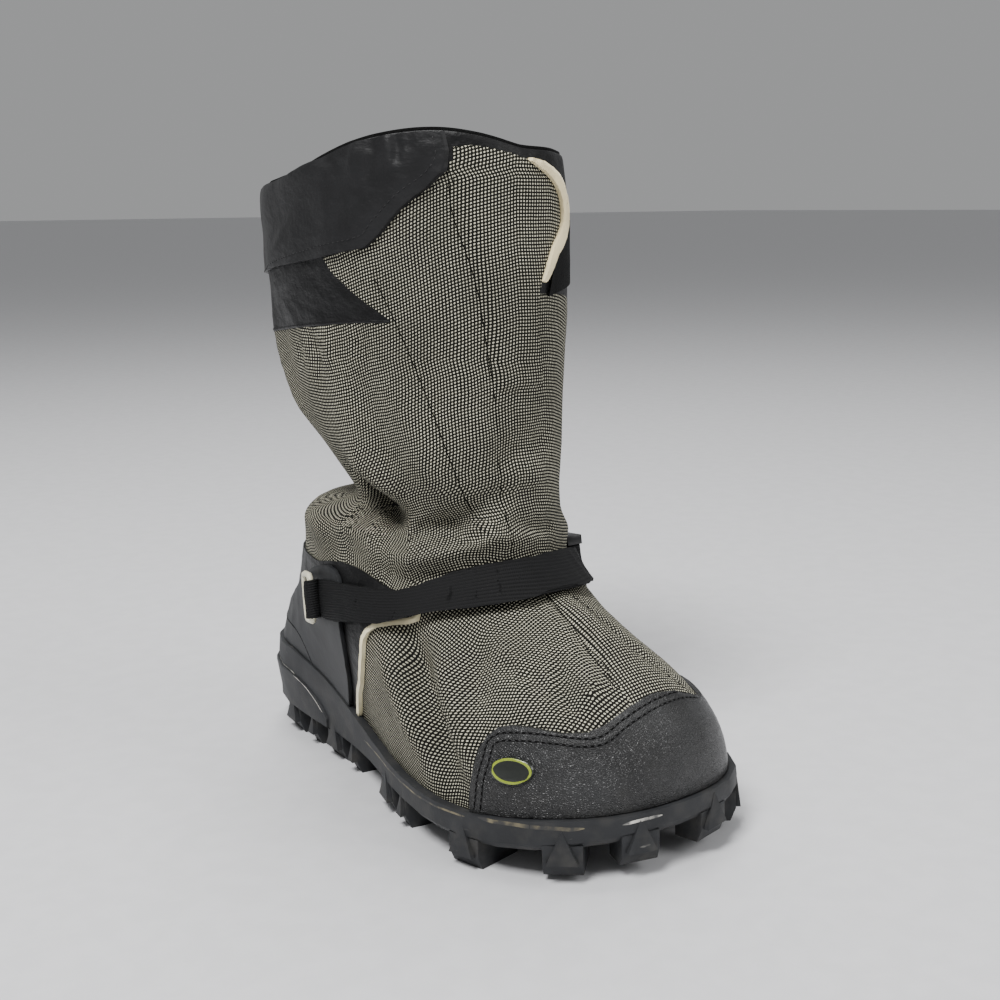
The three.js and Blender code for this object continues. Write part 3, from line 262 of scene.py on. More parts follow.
def smoothstep(low: float, high: float, value: np.ndarray) -> np.ndarray:
    """Rises softly from 0 at low to 1 at high."""
    t = np.clip((value - low) / (high - low), 0, 1)
    return t * t * (3 - 2 * t)


def coordinates(mesh: bpy.types.Mesh) -> np.ndarray:
    """Gives the vertices of a mesh as an array of rows, in metres."""
    out = np.zeros(len(mesh.vertices) * 3)
    mesh.vertices.foreach_get("co", out)
    return out.reshape(-1, 3)


def along_line(points: np.ndarray, line: np.ndarray) -> tuple[np.ndarray, np.ndarray, np.ndarray]:
    """Measures points against a polyline.

    Args:
        points: Rows of places.
        line: Rows of the polyline's corners, in the same unit.

    Returns:
        For each point the distance to the line, the length along it, and the nearest place on it.
    """
    best = np.full(len(points), np.inf)
    run = np.zeros(len(points))
    foot = np.zeros_like(points)
    start = 0.0
    for a, b in zip(line[:-1], line[1:]):
        step = b - a
        length = float(np.linalg.norm(step))
        t = np.clip((points - a) @ step / length ** 2, 0, 1)
        near = a + t[:, None] * step
        gap = np.linalg.norm(points - near, axis=1)
        closer = gap < best
        best[closer] = gap[closer]
        run[closer] = start + t[closer] * length
        foot[closer] = near[closer]
        start += length
    return best, run, foot


def line_length(line: np.ndarray) -> float:
    """Gives the length of a polyline."""
    return float(np.linalg.norm(np.diff(line, axis=0), axis=1).sum())


def resample(line: np.ndarray, step: float) -> np.ndarray:
    """Gives a smooth curve through a polyline's corners as evenly spaced points."""
    padded = np.vstack([2 * line[0] - line[1], line, 2 * line[-1] - line[-2]])
    fine = []
    for i in range(1, len(padded) - 2):
        p0, p1, p2, p3 = padded[i - 1:i + 3]
        for t in np.linspace(0, 1, 12, endpoint=False):
            fine.append(0.5 * ((2 * p1) + (p2 - p0) * t + (2 * p0 - 5 * p1 + 4 * p2 - p3) * t ** 2
                               + (3 * p1 - p0 - 3 * p2 + p3) * t ** 3))
    fine.append(line[-1])
    curve = np.array(fine)
    lengths = np.concatenate([[0], np.cumsum(np.linalg.norm(np.diff(curve, axis=0), axis=1))])
    count = max(2, int(round(lengths[-1] / step)) + 1)
    at = np.linspace(0, lengths[-1], count)
    return np.stack([np.interp(at, lengths, curve[:, k]) for k in range(3)], axis=1)


def fold_height(points: np.ndarray, folds: Iterable[Fold]) -> np.ndarray:
    """Sums what the folds lift each point by.

    Args:
        points: Rows of places in millimetres.
        folds: The folds to sum.

    Returns:
        The lift of each point in millimetres.
    """
    lift = np.zeros(len(points))
    for fold in folds:
        line = np.array(fold.line, float)
        gap, run, _ = along_line(points, line)
        whole = line_length(line)
        share = run / whole
        taper = smoothstep(-0.02, FOLD_RUNOUT, share) * smoothstep(-0.02, FOLD_RUNOUT, 1 - share)
        height = fold.height * (FOLD_END + (1 - FOLD_END) * taper)
        lift += height * np.exp(-((gap / fold.width) ** 2))
    return lift


@dataclass(frozen=True)
class Spine:
    """The line through the middle of the shaft and of the foot, in millimetres."""

    shaft_x: float = 82.0
    shaft_y: float = 2.0
    lean: float = 0.02
    lean_from: float = 60.0
    foot_z: float = 34.0
    heights: range = range(70, 340, 12)
    stations: range = range(16, 240, 12)

    def points(self) -> np.ndarray:
        """Gives points along the shaft and along the foot as rows."""
        shaft = [(self.shaft_x + (z - self.lean_from) * self.lean, self.shaft_y, z) for z in self.heights]
        foot = [(x, 0, self.foot_z) for x in self.stations]
        return np.array(shaft + foot, float)


SPINE = Spine().points()


def outward(points: np.ndarray) -> np.ndarray:
    """Gives at each point, in millimetres, the direction away from the middle of the shoe."""
    away = points[:, None, :] - SPINE[None, :, :]
    distance = np.linalg.norm(away, axis=2) + 1e-6
    total = (away / distance[..., None] ** 5).sum(axis=1)
    return total / np.linalg.norm(total, axis=1)[:, None]


def signed_distance(points: np.ndarray, corners: Outline) -> np.ndarray:
    """Gives how far points of a plane lie inside an outline; outside counts as negative."""
    ring = np.array(list(corners) + [corners[0]], float)
    best = np.full(len(points), np.inf)
    inside = np.zeros(len(points), bool)
    for a, b in zip(ring[:-1], ring[1:]):
        step = b - a
        t = np.clip((points - a) @ step / (step @ step), 0, 1)
        best = np.minimum(best, np.linalg.norm(points - (a + t[:, None] * step), axis=1))
        crosses = (a[1] > points[:, 1]) != (b[1] > points[:, 1])
        rise = b[1] - a[1] if b[1] != a[1] else 1e-9
        inside ^= crosses & (points[:, 0] < step[0] * (points[:, 1] - a[1]) / rise + a[0])
    return np.where(inside, best, -best)


def refine(mesh: bmesh.types.BMesh, longest: float) -> None:
    """Cuts the edges of a mesh until none is longer than a length in metres."""
    for _ in range(5):
        long_edges = [e for e in mesh.edges if e.calc_length() > longest]
        if not long_edges:
            break
        bmesh.ops.subdivide_edges(mesh, edges=long_edges, cuts=1, use_grid_fill=True)
        wide = [f for f in mesh.faces if len(f.verts) > 4]
        if wide:
            bmesh.ops.triangulate(mesh, faces=wide)


def rows_of(mesh: bmesh.types.BMesh) -> np.ndarray:
    """Gives the vertices of a mesh under construction as rows, in metres."""
    return np.array([v.co for v in mesh.verts])


def move_to(mesh: bmesh.types.BMesh, points: np.ndarray) -> None:
    """Moves the vertices of a mesh under construction to rows of places, in metres."""
    for vertex, point in zip(mesh.verts, points):
        vertex.co = point


def merged(node: bpy.types.Object) -> bmesh.types.BMesh:
    """Copies a CAD node's mesh with its double vertices merged and its flat pairs joined."""
    mesh = bmesh.new()
    mesh.from_mesh(node.data)
    bmesh.ops.remove_doubles(mesh, verts=mesh.verts, dist=1e-5)
    bmesh.ops.join_triangles(
        mesh, faces=mesh.faces[:], angle_face_threshold=1.0, angle_shape_threshold=1.2,
        cmp_seam=False, cmp_sharp=False, cmp_uvs=False, cmp_vcols=False, cmp_materials=False)
    return mesh


def shade(mesh: bmesh.types.BMesh, angle: float) -> None:
    """Shades faces smooth and keeps edges sharper than an angle in degrees crisp."""
    for face in mesh.faces:
        face.smooth = True
    for edge in mesh.edges:
        edge.smooth = edge.calc_face_angle(0) < math.radians(angle)


def new_object(name: str, mesh: bmesh.types.BMesh, *materials: bpy.types.Material) -> bpy.types.Object:
    """Makes an object of a mesh, at the origin and unturned.

    Args:
        name: The object's name.
        mesh: Its shape, which is freed here.
        materials: Its materials in the order of their indices.

    Returns:
        The object, linked to the scene.
    """
    data = bpy.data.meshes.new(name)
    mesh.to_mesh(data)
    mesh.free()
    for material in materials:
        data.materials.append(material)
    obj = bpy.data.objects.new(name, data)
    bpy.context.scene.collection.objects.link(obj)
    return obj


def cut_along(mesh: bmesh.types.BMesh, corners: Outline, side: Side) -> None:
    """Cuts the faces of one side along the edges of an outline seen from the side.

    Args:
        mesh: The mesh to cut.
        corners: The outline's corners as lengths along and above the floor, in millimetres.
        side: The side of the shoe that is cut.
    """
    ring = list(corners) + [corners[0]]
    margin = SURFACE_REACH * MM
    for (x0, z0), (x1, z1) in zip(ring[:-1], ring[1:]):
        low = Vector((min(x0, x1), 0, min(z0, z1))) * MM
        high = Vector((max(x0, x1), 0, max(z0, z1))) * MM
        near = []
        for face in mesh.faces:
            at = face.calc_center_median()
            if at.y * side.value > 0 and low.x - margin < at.x < high.x + margin \
                    and low.z - margin < at.z < high.z + margin:
                near.append(face)
        geometry = near + list({e for f in near for e in f.edges}) + list({v for f in near for v in f.verts})
        if geometry:
            bmesh.ops.bisect_plane(mesh, geom=geometry, dist=1e-6, plane_co=Vector((x0, 0, z0)) * MM,
                                   plane_no=Vector((z0 - z1, 0, x1 - x0)).normalized())


class Field:
    """How the cloth moves from the CAD shell to its softened and folded shape."""

    def __init__(self, node: bpy.types.Object) -> None:
        """Builds the coarse and the smooth surface of the shell."""
        coarse = merged(node)
        self.coarse = BVHTree.FromBMesh(coarse)
        holder = new_object("shell_smooth", coarse)
        subdivision = holder.modifiers.new("smooth", "SUBSURF")
        subdivision.levels = 2
        subdivision.render_levels = 2
        graph = bpy.context.evaluated_depsgraph_get()
        graph.update()
        self.mesh = bpy.data.meshes.new_from_object(holder.evaluated_get(graph), depsgraph=graph)
        bpy.data.objects.remove(holder)
        smooth = bmesh.new()
        smooth.from_mesh(self.mesh)
        self.smooth = BVHTree.FromBMesh(smooth)
        smooth.free()

    def soften(self, points: np.ndarray) -> np.ndarray:
        """Moves points as the smooth shell lies against the faceted one, in metres."""
        out = points.copy()
        for i, point in enumerate(points):
            place = Vector(point)
            faceted = self.coarse.find_nearest(place)[0]
            soft = self.smooth.find_nearest(place)[0]
            out[i] += np.array(soft - faceted)
        return out

    def fold(self, points: np.ndarray, extra: Sequence[Fold] = (), share: float = 1.0) -> np.ndarray:
        """Lays the folds into points.

        Args:
            points: Rows of places in metres.
            extra: Folds of this piece alone.
            share: How much of the folds of the cloth the piece takes.

        Returns:
            The moved places in metres.
        """
        place = points / MM
        lift = share * fold_height(place, FOLDS) + fold_height(place, extra)
        ripple = np.array([sum(noise.noise(Vector(p) / wide) * high for wide, high in RIPPLES)
                           for p in place])
        return points + outward(place) * ((lift + share * ripple) * MM)[:, None]


class Shader:
    """A material under construction around one Principled shader."""

    def __init__(self, name: str) -> None:
        """Starts a material that holds only its Principled shader."""
        self.material = bpy.data.materials.new(name)
        self.material.use_nodes = True
        self.tree = self.material.node_tree
        self.tree.nodes.clear()
        self.main = self.tree.nodes.new("ShaderNodeBsdfPrincipled")
        end = self.tree.nodes.new("ShaderNodeOutputMaterial")
        self.tree.links.new(self.main.outputs[0], end.inputs[0])
        self.colour: Socket | None = None
        self.normal: Socket | None = None

    def add(self, kind: str, inputs: dict | None = None, output: str | int = 0,
            **settings: object) -> Socket:
        """Adds a node with its settings and links.

        Args:
            kind: Its type, without the words ShaderNode.
            inputs: What its inputs take, by name or index: a socket to link, or a constant.
            output: The output that is wanted, by name or index.
            settings: Its properties.

        Returns:
            The socket of that output.
        """
        node = self.tree.nodes.new("ShaderNode" + kind)
        for key, value in settings.items():
            setattr(node, key, value)
        for key, value in (inputs or {}).items():
            if isinstance(value, Socket):
                self.tree.links.new(value, node.inputs[key])
            else:
                node.inputs[key].default_value = value
        return node.outputs[output]

    def patches(self, size: float, detail: float = 3.0, stretch: tuple = (1, 1, 1)) -> Socket:
        """Gives an uneven pattern whose features are so many millimetres wide.

        Args:
            size: The width of its features in millimetres.
            detail: How many finer levels it has.
            stretch: How much closer its features lie along each axis.

        Returns:
            Its value from 0 to 1.
        """
        place = self.add("TexCoord", output="Object")
        scaled = self.add("VectorMath", {0: place, 1: stretch}, operation="MULTIPLY")
        return self.add("TexNoise", {"Vector": scaled, "Scale": 1 / (size * MM), "Detail": detail}, "Fac")

    def paint(self, share: Socket, over: tuple) -> None:
        """Lays a colour over the present one, by a share from 0 to 1."""
        self.colour = self.add("Mix", {0: share, 6: self.colour, 7: over}, **COLOUR)
        self.tree.links.new(self.colour, self.main.inputs["Base Color"])

    def emboss(self, height: Socket, relief: float) -> None:
        """Raises the present surface by a pattern that is so many millimetres high."""
        values: dict = {"Height": height, "Distance": relief * MM}
        if self.normal is not None:
            values["Normal"] = self.normal
        self.normal = self.add("Bump", values)
        self.tree.links.new(self.normal, self.main.inputs["Normal"])

    def dress(self, finish: Finish) -> None:
        """Sets the constants of a finish and adds its mottled colour, its dust and its grain."""
        constants = {"Roughness": finish.roughness, "Specular IOR Level": finish.specular,
                     "Sheen Weight": finish.sheen, "Sheen Roughness": 0.45,
                     "Coat Weight": finish.coat, "Coat Roughness": 0.25}
        for name, value in constants.items():
            self.main.inputs[name].default_value = value
        base = linear(finish.colour)
        dark = tuple(c * (1 - finish.mottle) for c in base[:3]) + (1.0,)
        light = tuple(min(1, c * (1 + finish.mottle)) for c in base[:3]) + (1.0,)
        self.colour = dark
        self.paint(self.add("MapRange", {0: self.patches(14), 1: 0.35, 2: 0.65}, **SOFT), light)
        if finish.dust:
            # Dust lies mostly on the lowest 55 mm
            place = self.add("TexCoord", output="Object")
            height = self.add("SeparateXYZ", {0: place}, "Z")
            low = self.add("MapRange", {0: height, 1: 0.055, 2: 0.0, 3: 0.15, 4: 1.0}, **SOFT)
            patch = self.add("MapRange", {0: self.patches(9, 5), 1: 0.42, 2: 0.72}, **SOFT)
            share = self.add("Math", {0: low, 1: patch}, operation="MULTIPLY")
            share = self.add("Math", {0: share, 1: finish.dust}, operation="MULTIPLY")
            self.paint(share, linear("#6f6b62"))
        self.emboss(self.patches(finish.grain, 4), finish.relief)


@dataclass(frozen=True)
class Finish:
    """What a material looks like, with lengths in millimetres."""

    name: str
    colour: str
    roughness: float
    grain: float = 1.0
    relief: float = 0.1
    mottle: float = 0.12
    sheen: float = 0.0
    coat: float = 0.0
    dust: float = 0.0
    specular: float = 0.5

    def material(self) -> bpy.types.Material:
        """Makes the material."""
        shader = Shader(self.name)
        shader.dress(self)
        self.pattern(shader)
        return shader.material

    def pattern(self, shader: Shader) -> None:
        """Adds what is woven or moulded in; a plain finish has nothing more."""


@dataclass(frozen=True)
class Canvas(Finish):
    """Coated canvas: off-white floats on an olive black ground.

    The weave map holds the length round the shoe and along it, in metres. The floats are drawn at
    their real distance.
    """

    pitch: float = 1.5
    floats: str = "#e6e2cb"

    def pattern(self, shader: Shader) -> None:
        """Adds the floats, each a square with round corners and a brightness of its own."""
        weave = shader.add("UVMap", uv_map="weave")
        wander = shader.add("Math", {0: shader.patches(16), 1: 0.5}, operation="SUBTRACT")
        wander = shader.add("Math", {0: wander, 1: 0.5}, operation="MULTIPLY")
        cells, powers = [], []
        for axis in ("X", "Y"):
            length = shader.add("SeparateXYZ", {0: weave}, axis)
            steps = shader.add("Math", {0: length, 1: 1 / (self.pitch * MM), 2: wander},
                               operation="MULTIPLY_ADD")
            cells.append(shader.add("Math", {0: steps}, operation="FLOOR"))
            part = shader.add("Math", {0: steps}, operation="FRACT")
            part = shader.add("Math", {0: part, 1: 0.5}, operation="SUBTRACT")
            part = shader.add("Math", {0: part}, operation="ABSOLUTE")
            powers.append(shader.add("Math", {0: part, 1: 3.0}, operation="POWER"))
        reach = shader.add("Math", {0: powers[0], 1: powers[1]}, operation="ADD")
        reach = shader.add("Math", {0: reach, 1: 1 / 3}, operation="POWER")
        dot = shader.add("MapRange", {0: reach, 1: 0.325, 2: 0.2}, **SOFT)
        cell = shader.add("CombineXYZ", {0: cells[0], 1: cells[1]})
        chance = shader.add("TexWhiteNoise", {"Vector": cell}, noise_dimensions="2D")
        bright = shader.add("MapRange", {0: chance, 1: 0, 2: 1, 3: 0.82, 4: 1.0}, **SOFT)
        soiled = shader.add("MapRange", {0: shader.patches(40, 4), 1: 0.3, 2: 0.7, 3: 0.88, 4: 0.66}, **SOFT)
        bright = shader.add("Math", {0: bright, 1: soiled}, operation="MULTIPLY")
        shader.paint(shader.add("Math", {0: dot, 1: bright}, operation="MULTIPLY"), linear(self.floats))
        shader.emboss(dot, 0.22)


@dataclass(frozen=True)
class Nylon(Finish):
    """Plain weave nylon with fine threads and soft crinkles."""

    roughness: float = 0.5
    grain: float = 0.45
    relief: float = 0.06
    mottle: float = 0.16
    sheen: float = 0.02
    specular: float = 0.25
    crinkle: float = 1.8

    def pattern(self, shader: Shader) -> None:
        """Adds the crinkles and the weave, which is drawn coarser than its threads so that it shows."""
        shader.emboss(shader.patches(11, 4, (0.7, 0.7, 1)), self.crinkle)
        shader.emboss(shader.patches(1.1, 2, (0.25, 0.25, 2.5)), 0.07)


@dataclass(frozen=True)
class Webbing(Finish):
    """Webbing woven of thick nylon, ribbed lengthwise along its weave map."""

    roughness: float = 0.75
    grain: float = 0.6
    relief: float = 0.05
    specular: float = 0.22
    pitch: float = 1.15
    pick: float = 0.9

    def pattern(self, shader: Shader) -> None:
        """Adds the ribs and, across them, the picks that lean from rib to rib, with painted highlight on
        their crests and painted shade between them.
        """
        weave = shader.add("UVMap", uv_map="weave")
        waves = []
        for axis, spacing in (("Y", self.pitch), ("X", self.pick)):
            length = shader.add("SeparateXYZ", {0: weave}, axis)
            turns = {0: length, 1: 2 * math.pi / (spacing * MM)}
            waves.append(shader.add("Math", turns, operation="MULTIPLY"))
        rib = shader.add("Math", {0: waves[0]}, operation="SINE")
        pick = shader.add("Math", {0: rib, 1: 1.2, 2: waves[1]}, operation="MULTIPLY_ADD")
        pick = shader.add("Math", {0: pick}, operation="SINE")
        height = shader.add("Math", {0: pick, 1: 0.35, 2: rib}, operation="MULTIPLY_ADD")
        # The crests are painted up to 1.75 times as bright as the grooves: painted highlight on the ribs and
        # painted shade between them
        light = tuple(min(1, c * 1.75) for c in linear(self.colour)[:3]) + (1.0,)
        shader.paint(shader.add("MapRange", {0: height, 1: -0.6, 2: 1.3}, **SOFT), light)
        shader.emboss(height, 0.11)


@dataclass(frozen=True)
class SoleRubber(Finish):
    """Moulded rubber of the sole, with pale scuffs and dust in its corners."""

    roughness: float = 0.6
    grain: float = 1.4
    dust: float = 0.16
    specular: float = 0.3

    def pattern(self, shader: Shader) -> None:
        """Adds the scuffs and the fine skin of the mould."""
        streaks = shader.add("MapRange", {0: shader.patches(3.5, 6, (0.35, 0.35, 1.6)), 1: 0.66, 2: 0.78},
                             **SOFT)
        place = shader.add("MapRange", {0: shader.patches(22, 3), 1: 0.5, 2: 0.68}, **SOFT)
        scuff = shader.add("Math", {0: streaks, 1: place}, operation="MULTIPLY")
        shader.paint(shader.add("Math", {0: scuff, 1: 0.5}, operation="MULTIPLY"), linear("#8a8882"))
        shader.emboss(shader.patches(0.5, 2), 0.03)


@dataclass(frozen=True)
class CapRubber(Finish):
    """Grained rubber of the toe cap, worn a little lighter in patches."""

    roughness: float = 0.36
    grain: float = 6
    relief: float = 0.2
    dust: float = 0.08
    pebble: float = 0.9

    def pattern(self, shader: Shader) -> None:
        """Adds the pebbled grain of the mould and the worn patches."""
        place = shader.add("TexCoord", output="Object")
        cells = shader.add("TexVoronoi", {"Vector": place, "Scale": 1 / (self.pebble * MM)}, "Distance",
                           feature="DISTANCE_TO_EDGE")
        shader.emboss(shader.add("MapRange", {0: cells, 1: 0, 2: 0.35}, **SOFT), 0.2)
        shader.emboss(shader.patches(2.4, 3), 0.12)
        worn = shader.add("MapRange", {0: shader.patches(24, 5), 1: 0.4, 2: 0.7, 3: 0.0, 4: 0.35}, **SOFT)
        shader.paint(worn, linear("#343536"))


@dataclass(frozen=True)
class Trace(Finish):
    """A broken trace of glue or a scuff that lets the ground through in places."""

    roughness: float = 0.6
    grain: float = 0.8
    relief: float = 0.05
    mottle: float = 0.2
    under: str = "#2c2c2c"

    def pattern(self, shader: Shader) -> None:
        """Lets the ground through where the trace is gone."""
        gone = shader.add("MapRange", {0: shader.patches(6.5, 6), 1: 0.4, 2: 0.66, 3: 1.0, 4: 0.0}, **SOFT)
        shader.paint(gone, linear(self.under))


FINISHES: dict[str, Finish] = {
    # Woven of polyester and coated, so its pale floats stay matt
    "canvas": Canvas("coated canvas, woven of black and off-white polyester", "#12120f", 0.85,
                     grain=0.5, relief=0.05, specular=0.15),
    # Thin proofed nylon, sewn in loosely, dull with soft creases
    "lining": Nylon("proofed nylon lining", "#101012", crinkle=1.6),
    # Heavier woven nylon, which catches the light along its crinkles
    "collar": Nylon("packcloth nylon of the collar", "#080809", crinkle=2.4),
    "strap": Nylon("packcloth nylon of the strap", "#19191a", crinkle=1.8),
    # Thick nylon woven in ribs, so it is dull and streaked lengthwise; the streaks are painted highlight on
    # the ribs' crests and painted shade between them
    "webbing": Webbing("nylon webbing, woven in ribs", "#0c0c0d"),
    # Moulded rubber, matt, with grey scuffs
    "sole": SoleRubber("moulded rubber of the sole, matt and scuffed", "#27282a"),
    # Moulded in a grained tool, with a broken gloss on its top
    "cap": CapRubber("grained rubber of the toe cap", "#1b1b1b"),
    # Moulded thermoplastic rubber, smoother than the sole
    "counter": Finish("moulded rubber of the heel counter", "#222325", 0.55, grain=2.2, relief=0.07,
                      dust=0.08, specular=0.3),
    # Nylon moulded smooth, with a soft gloss
    "ivory": Finish("moulded ivory nylon", "#d9d4bd", 0.38, grain=3, relief=0.03, mottle=0.05),
    # Woven over a cord, fine and slightly fuzzy
    "cream": Finish("cream piping cord", "#eadfb8", 0.6, grain=0.6, relief=0.08, sheen=0.2),
    # Elastic woven with cotton, ribbed and dull
    "elastic": Finish("cream elastic tape", "#ecdcae", 0.75, grain=1.2, relief=0.2, mottle=0.1, sheen=0.3),
    # Acetal moulded smooth, the glossiest black on the shoe
    "black": Finish("moulded black acetal", "#0b0b0c", 0.32, grain=3, relief=0.03),
    # Moulded and lacquered, with a thin clear gloss
    "badge": Finish("moulded badge plastic", "#1b1e1a", 0.3, grain=3, relief=0.03, coat=0.4),
    # Lacquered rim, with a clear gloss
    "rim": Finish("green badge lacquer", "#8c9c22", 0.32, grain=3, relief=0.02, coat=0.5),
    # Woven tape with nylon hooks, rough and dull
    "hook": Finish("hook tape", "#090909", 0.85, grain=0.8, relief=0.5, specular=0.2),
    # Pressed felt, with no gloss
    "felt": Finish("felt insole", "#4a4a4a", 0.95, grain=0.7, relief=0.25, sheen=0.3),
    # Bonded polyester, slightly shiny where it stands up
    "thread": Finish("black polyester thread", "#1c1c1d", 0.6, grain=0.4, relief=0.04),
    # The line that a needle draws in, darker than what it is sewn in
    "groove": Finish("shadowed needle line", "#060606", 0.9, grain=0.6, relief=0.05, specular=0.1),
    # Smeared on by hand and rubbed off in places, so they are broken and matt
    "glue": Trace("dried glue and dust", "#6f6751"),
    "scuff": Trace("pale scuff in rubber", "#c9c6bd", under="#4a4a4a"),
}


class Bench:
    """What the sub-assemblies share: the nodes, the cloth, the materials and the finished pieces."""

    def __init__(self, frame: dict) -> None:
        """Takes the loaded frame."""
        self.nodes = frame["nodes"]
        self.field = Field(self.nodes["upper"])
        self.materials = {name: finish.material() for name, finish in FINISHES.items()}
        self.made: dict[str, bpy.types.Object] = {}


class Piece:
    """A visible piece that stands for one CAD node."""

    def __init__(self, bench: Bench, node: str, slot: str, shape: bpy.types.Mesh | None = None) -> None:
        """Takes the node's mesh, or a shape made of it, and a slot name, which is not used."""
        self.bench = bench
        self.node = node
        self.slot = slot
        if shape is None:
            self.mesh = merged(bench.nodes[node])
        else:
            self.mesh = bmesh.new()
            self.mesh.from_mesh(shape)

    def soften(self, longest: float, folds: float | None = 1.0, extra: Sequence[Fold] = ()) -> Piece:
        """Refines the piece and lets it follow the cloth.

        Args:
            longest: The longest edge in millimetres.
            folds: The share of the folds that it takes, or None where it only takes the smooth form.
            extra: Folds of its own.

        Returns:
            This piece.
        """
        refine(self.mesh, longest * MM)
        points = self.bench.field.soften(rows_of(self.mesh))
        if folds is not None:
            points = self.bench.field.fold(points, extra, folds)
        move_to(self.mesh, points)
        return self

    def shift(self, move: Callable[[np.ndarray, np.ndarray], np.ndarray]) -> Piece:
        """Moves each vertex along its normal.

        Args:
            move: Gives the lift of places with their normals, all in millimetres.

        Returns:
            This piece.
        """
        self.mesh.normal_update()
        points = rows_of(self.mesh) / MM
        normals = np.array([v.normal for v in self.mesh.verts])
        for vertex, amount in zip(self.mesh.verts, move(points, normals)):
            vertex.co += vertex.normal * float(amount) * MM
        return self

    def tuck(self, line: Outline, outer: float, inner: float, reach: float) -> Piece:
        """Draws the rim beside a line down into the cloth under it, with lengths in millimetres.

        Args:
            line: Corners of the line seen from the front, across and up.
            outer: How far the outer face sinks at the line.
            inner: How far the inner face sinks at the line.
            reach: How far from the line the sinking ends.

        Returns:
            This piece.
        """
        self.mesh.normal_update()
        points = rows_of(self.mesh) / MM
        normals = np.array([v.normal for v in self.mesh.verts])
        away = outward(points)
        gap, _, _ = along_line(points[:, 1:], np.array(line, float))
        deepest = np.where((normals * away).sum(axis=1) > 0, outer, inner)
        drop = deepest * (1 - smoothstep(0.0, reach, gap))
        move_to(self.mesh, (points - away * drop[:, None]) * MM)
        return self

    def finish(self, *looks: str, angle: float = 38.0, bevel: float = 0.0) -> bpy.types.Object:
        """Makes the object, rounds its edges, and ties it to the frame.

        Args:
            looks: The names of its finishes.
            angle: Edges sharper than this many degrees stay crisp.
            bevel: The width of its edge rounding in millimetres, or nought.

        Returns:
            The object.
        """
        if bevel:
            edges = [e for e in self.mesh.edges if e.calc_face_angle(0) > math.radians(ROUNDED_FROM)]
            bmesh.ops.bevel(self.mesh, geom=edges, offset=bevel * MM, offset_type="OFFSET", segments=2,
                            profile=0.5, affect="EDGES", material=-1, clamp_overlap=True)
        shade(self.mesh, angle)
        obj = new_object(f"{self.node}_look", self.mesh, *(self.bench.materials[look] for look in looks))
        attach(obj, "root")
        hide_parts(self.node)
        self.bench.made[self.node] = obj
        LOG.info("%s: %d faces", obj.name, len(obj.data.polygons))
        return obj


def nearest_surface(obj: bpy.types.Object) -> BVHTree:
    """Gives a search tree of an object's surface."""
    mesh = bmesh.new()
    mesh.from_mesh(obj.data)
    bmesh.ops.recalc_face_normals(mesh, faces=mesh.faces)
    tree = BVHTree.FromBMesh(mesh)
    mesh.free()
    return tree


def laid_on(line: Line, step: float, tree: BVHTree) -> tuple[list[Vector], list[Vector], list[Vector]]:
    """Lays a line on a surface.

    Args:
        line: Its corners in millimetres.
        step: The distance of the points in millimetres.
        tree: The surface.

    Returns:
        The points on the surface, the outward normals and the tangents.
    """
    places, normals = [], []
    for point in resample(np.array(line, float), step):
        away = Vector(outward(np.array([point]))[0])
        start = Vector(point) * MM + away * (SURFACE_REACH * MM)
        hit, normal, _, _ = tree.ray_cast(start, -away, 2 * SURFACE_REACH * MM)
        if hit is None:
            hit, normal, _, _ = tree.find_nearest(Vector(point) * MM)
        if normal.dot(away) < 0:
            normal = -normal
        places.append(hit)
        normals.append(normal)
    last = len(places) - 1
    tangents = [(places[min(i + 1, last)] - places[max(i - 1, 0)]).normalized() for i in range(last + 1)]
    return places, normals, tangents


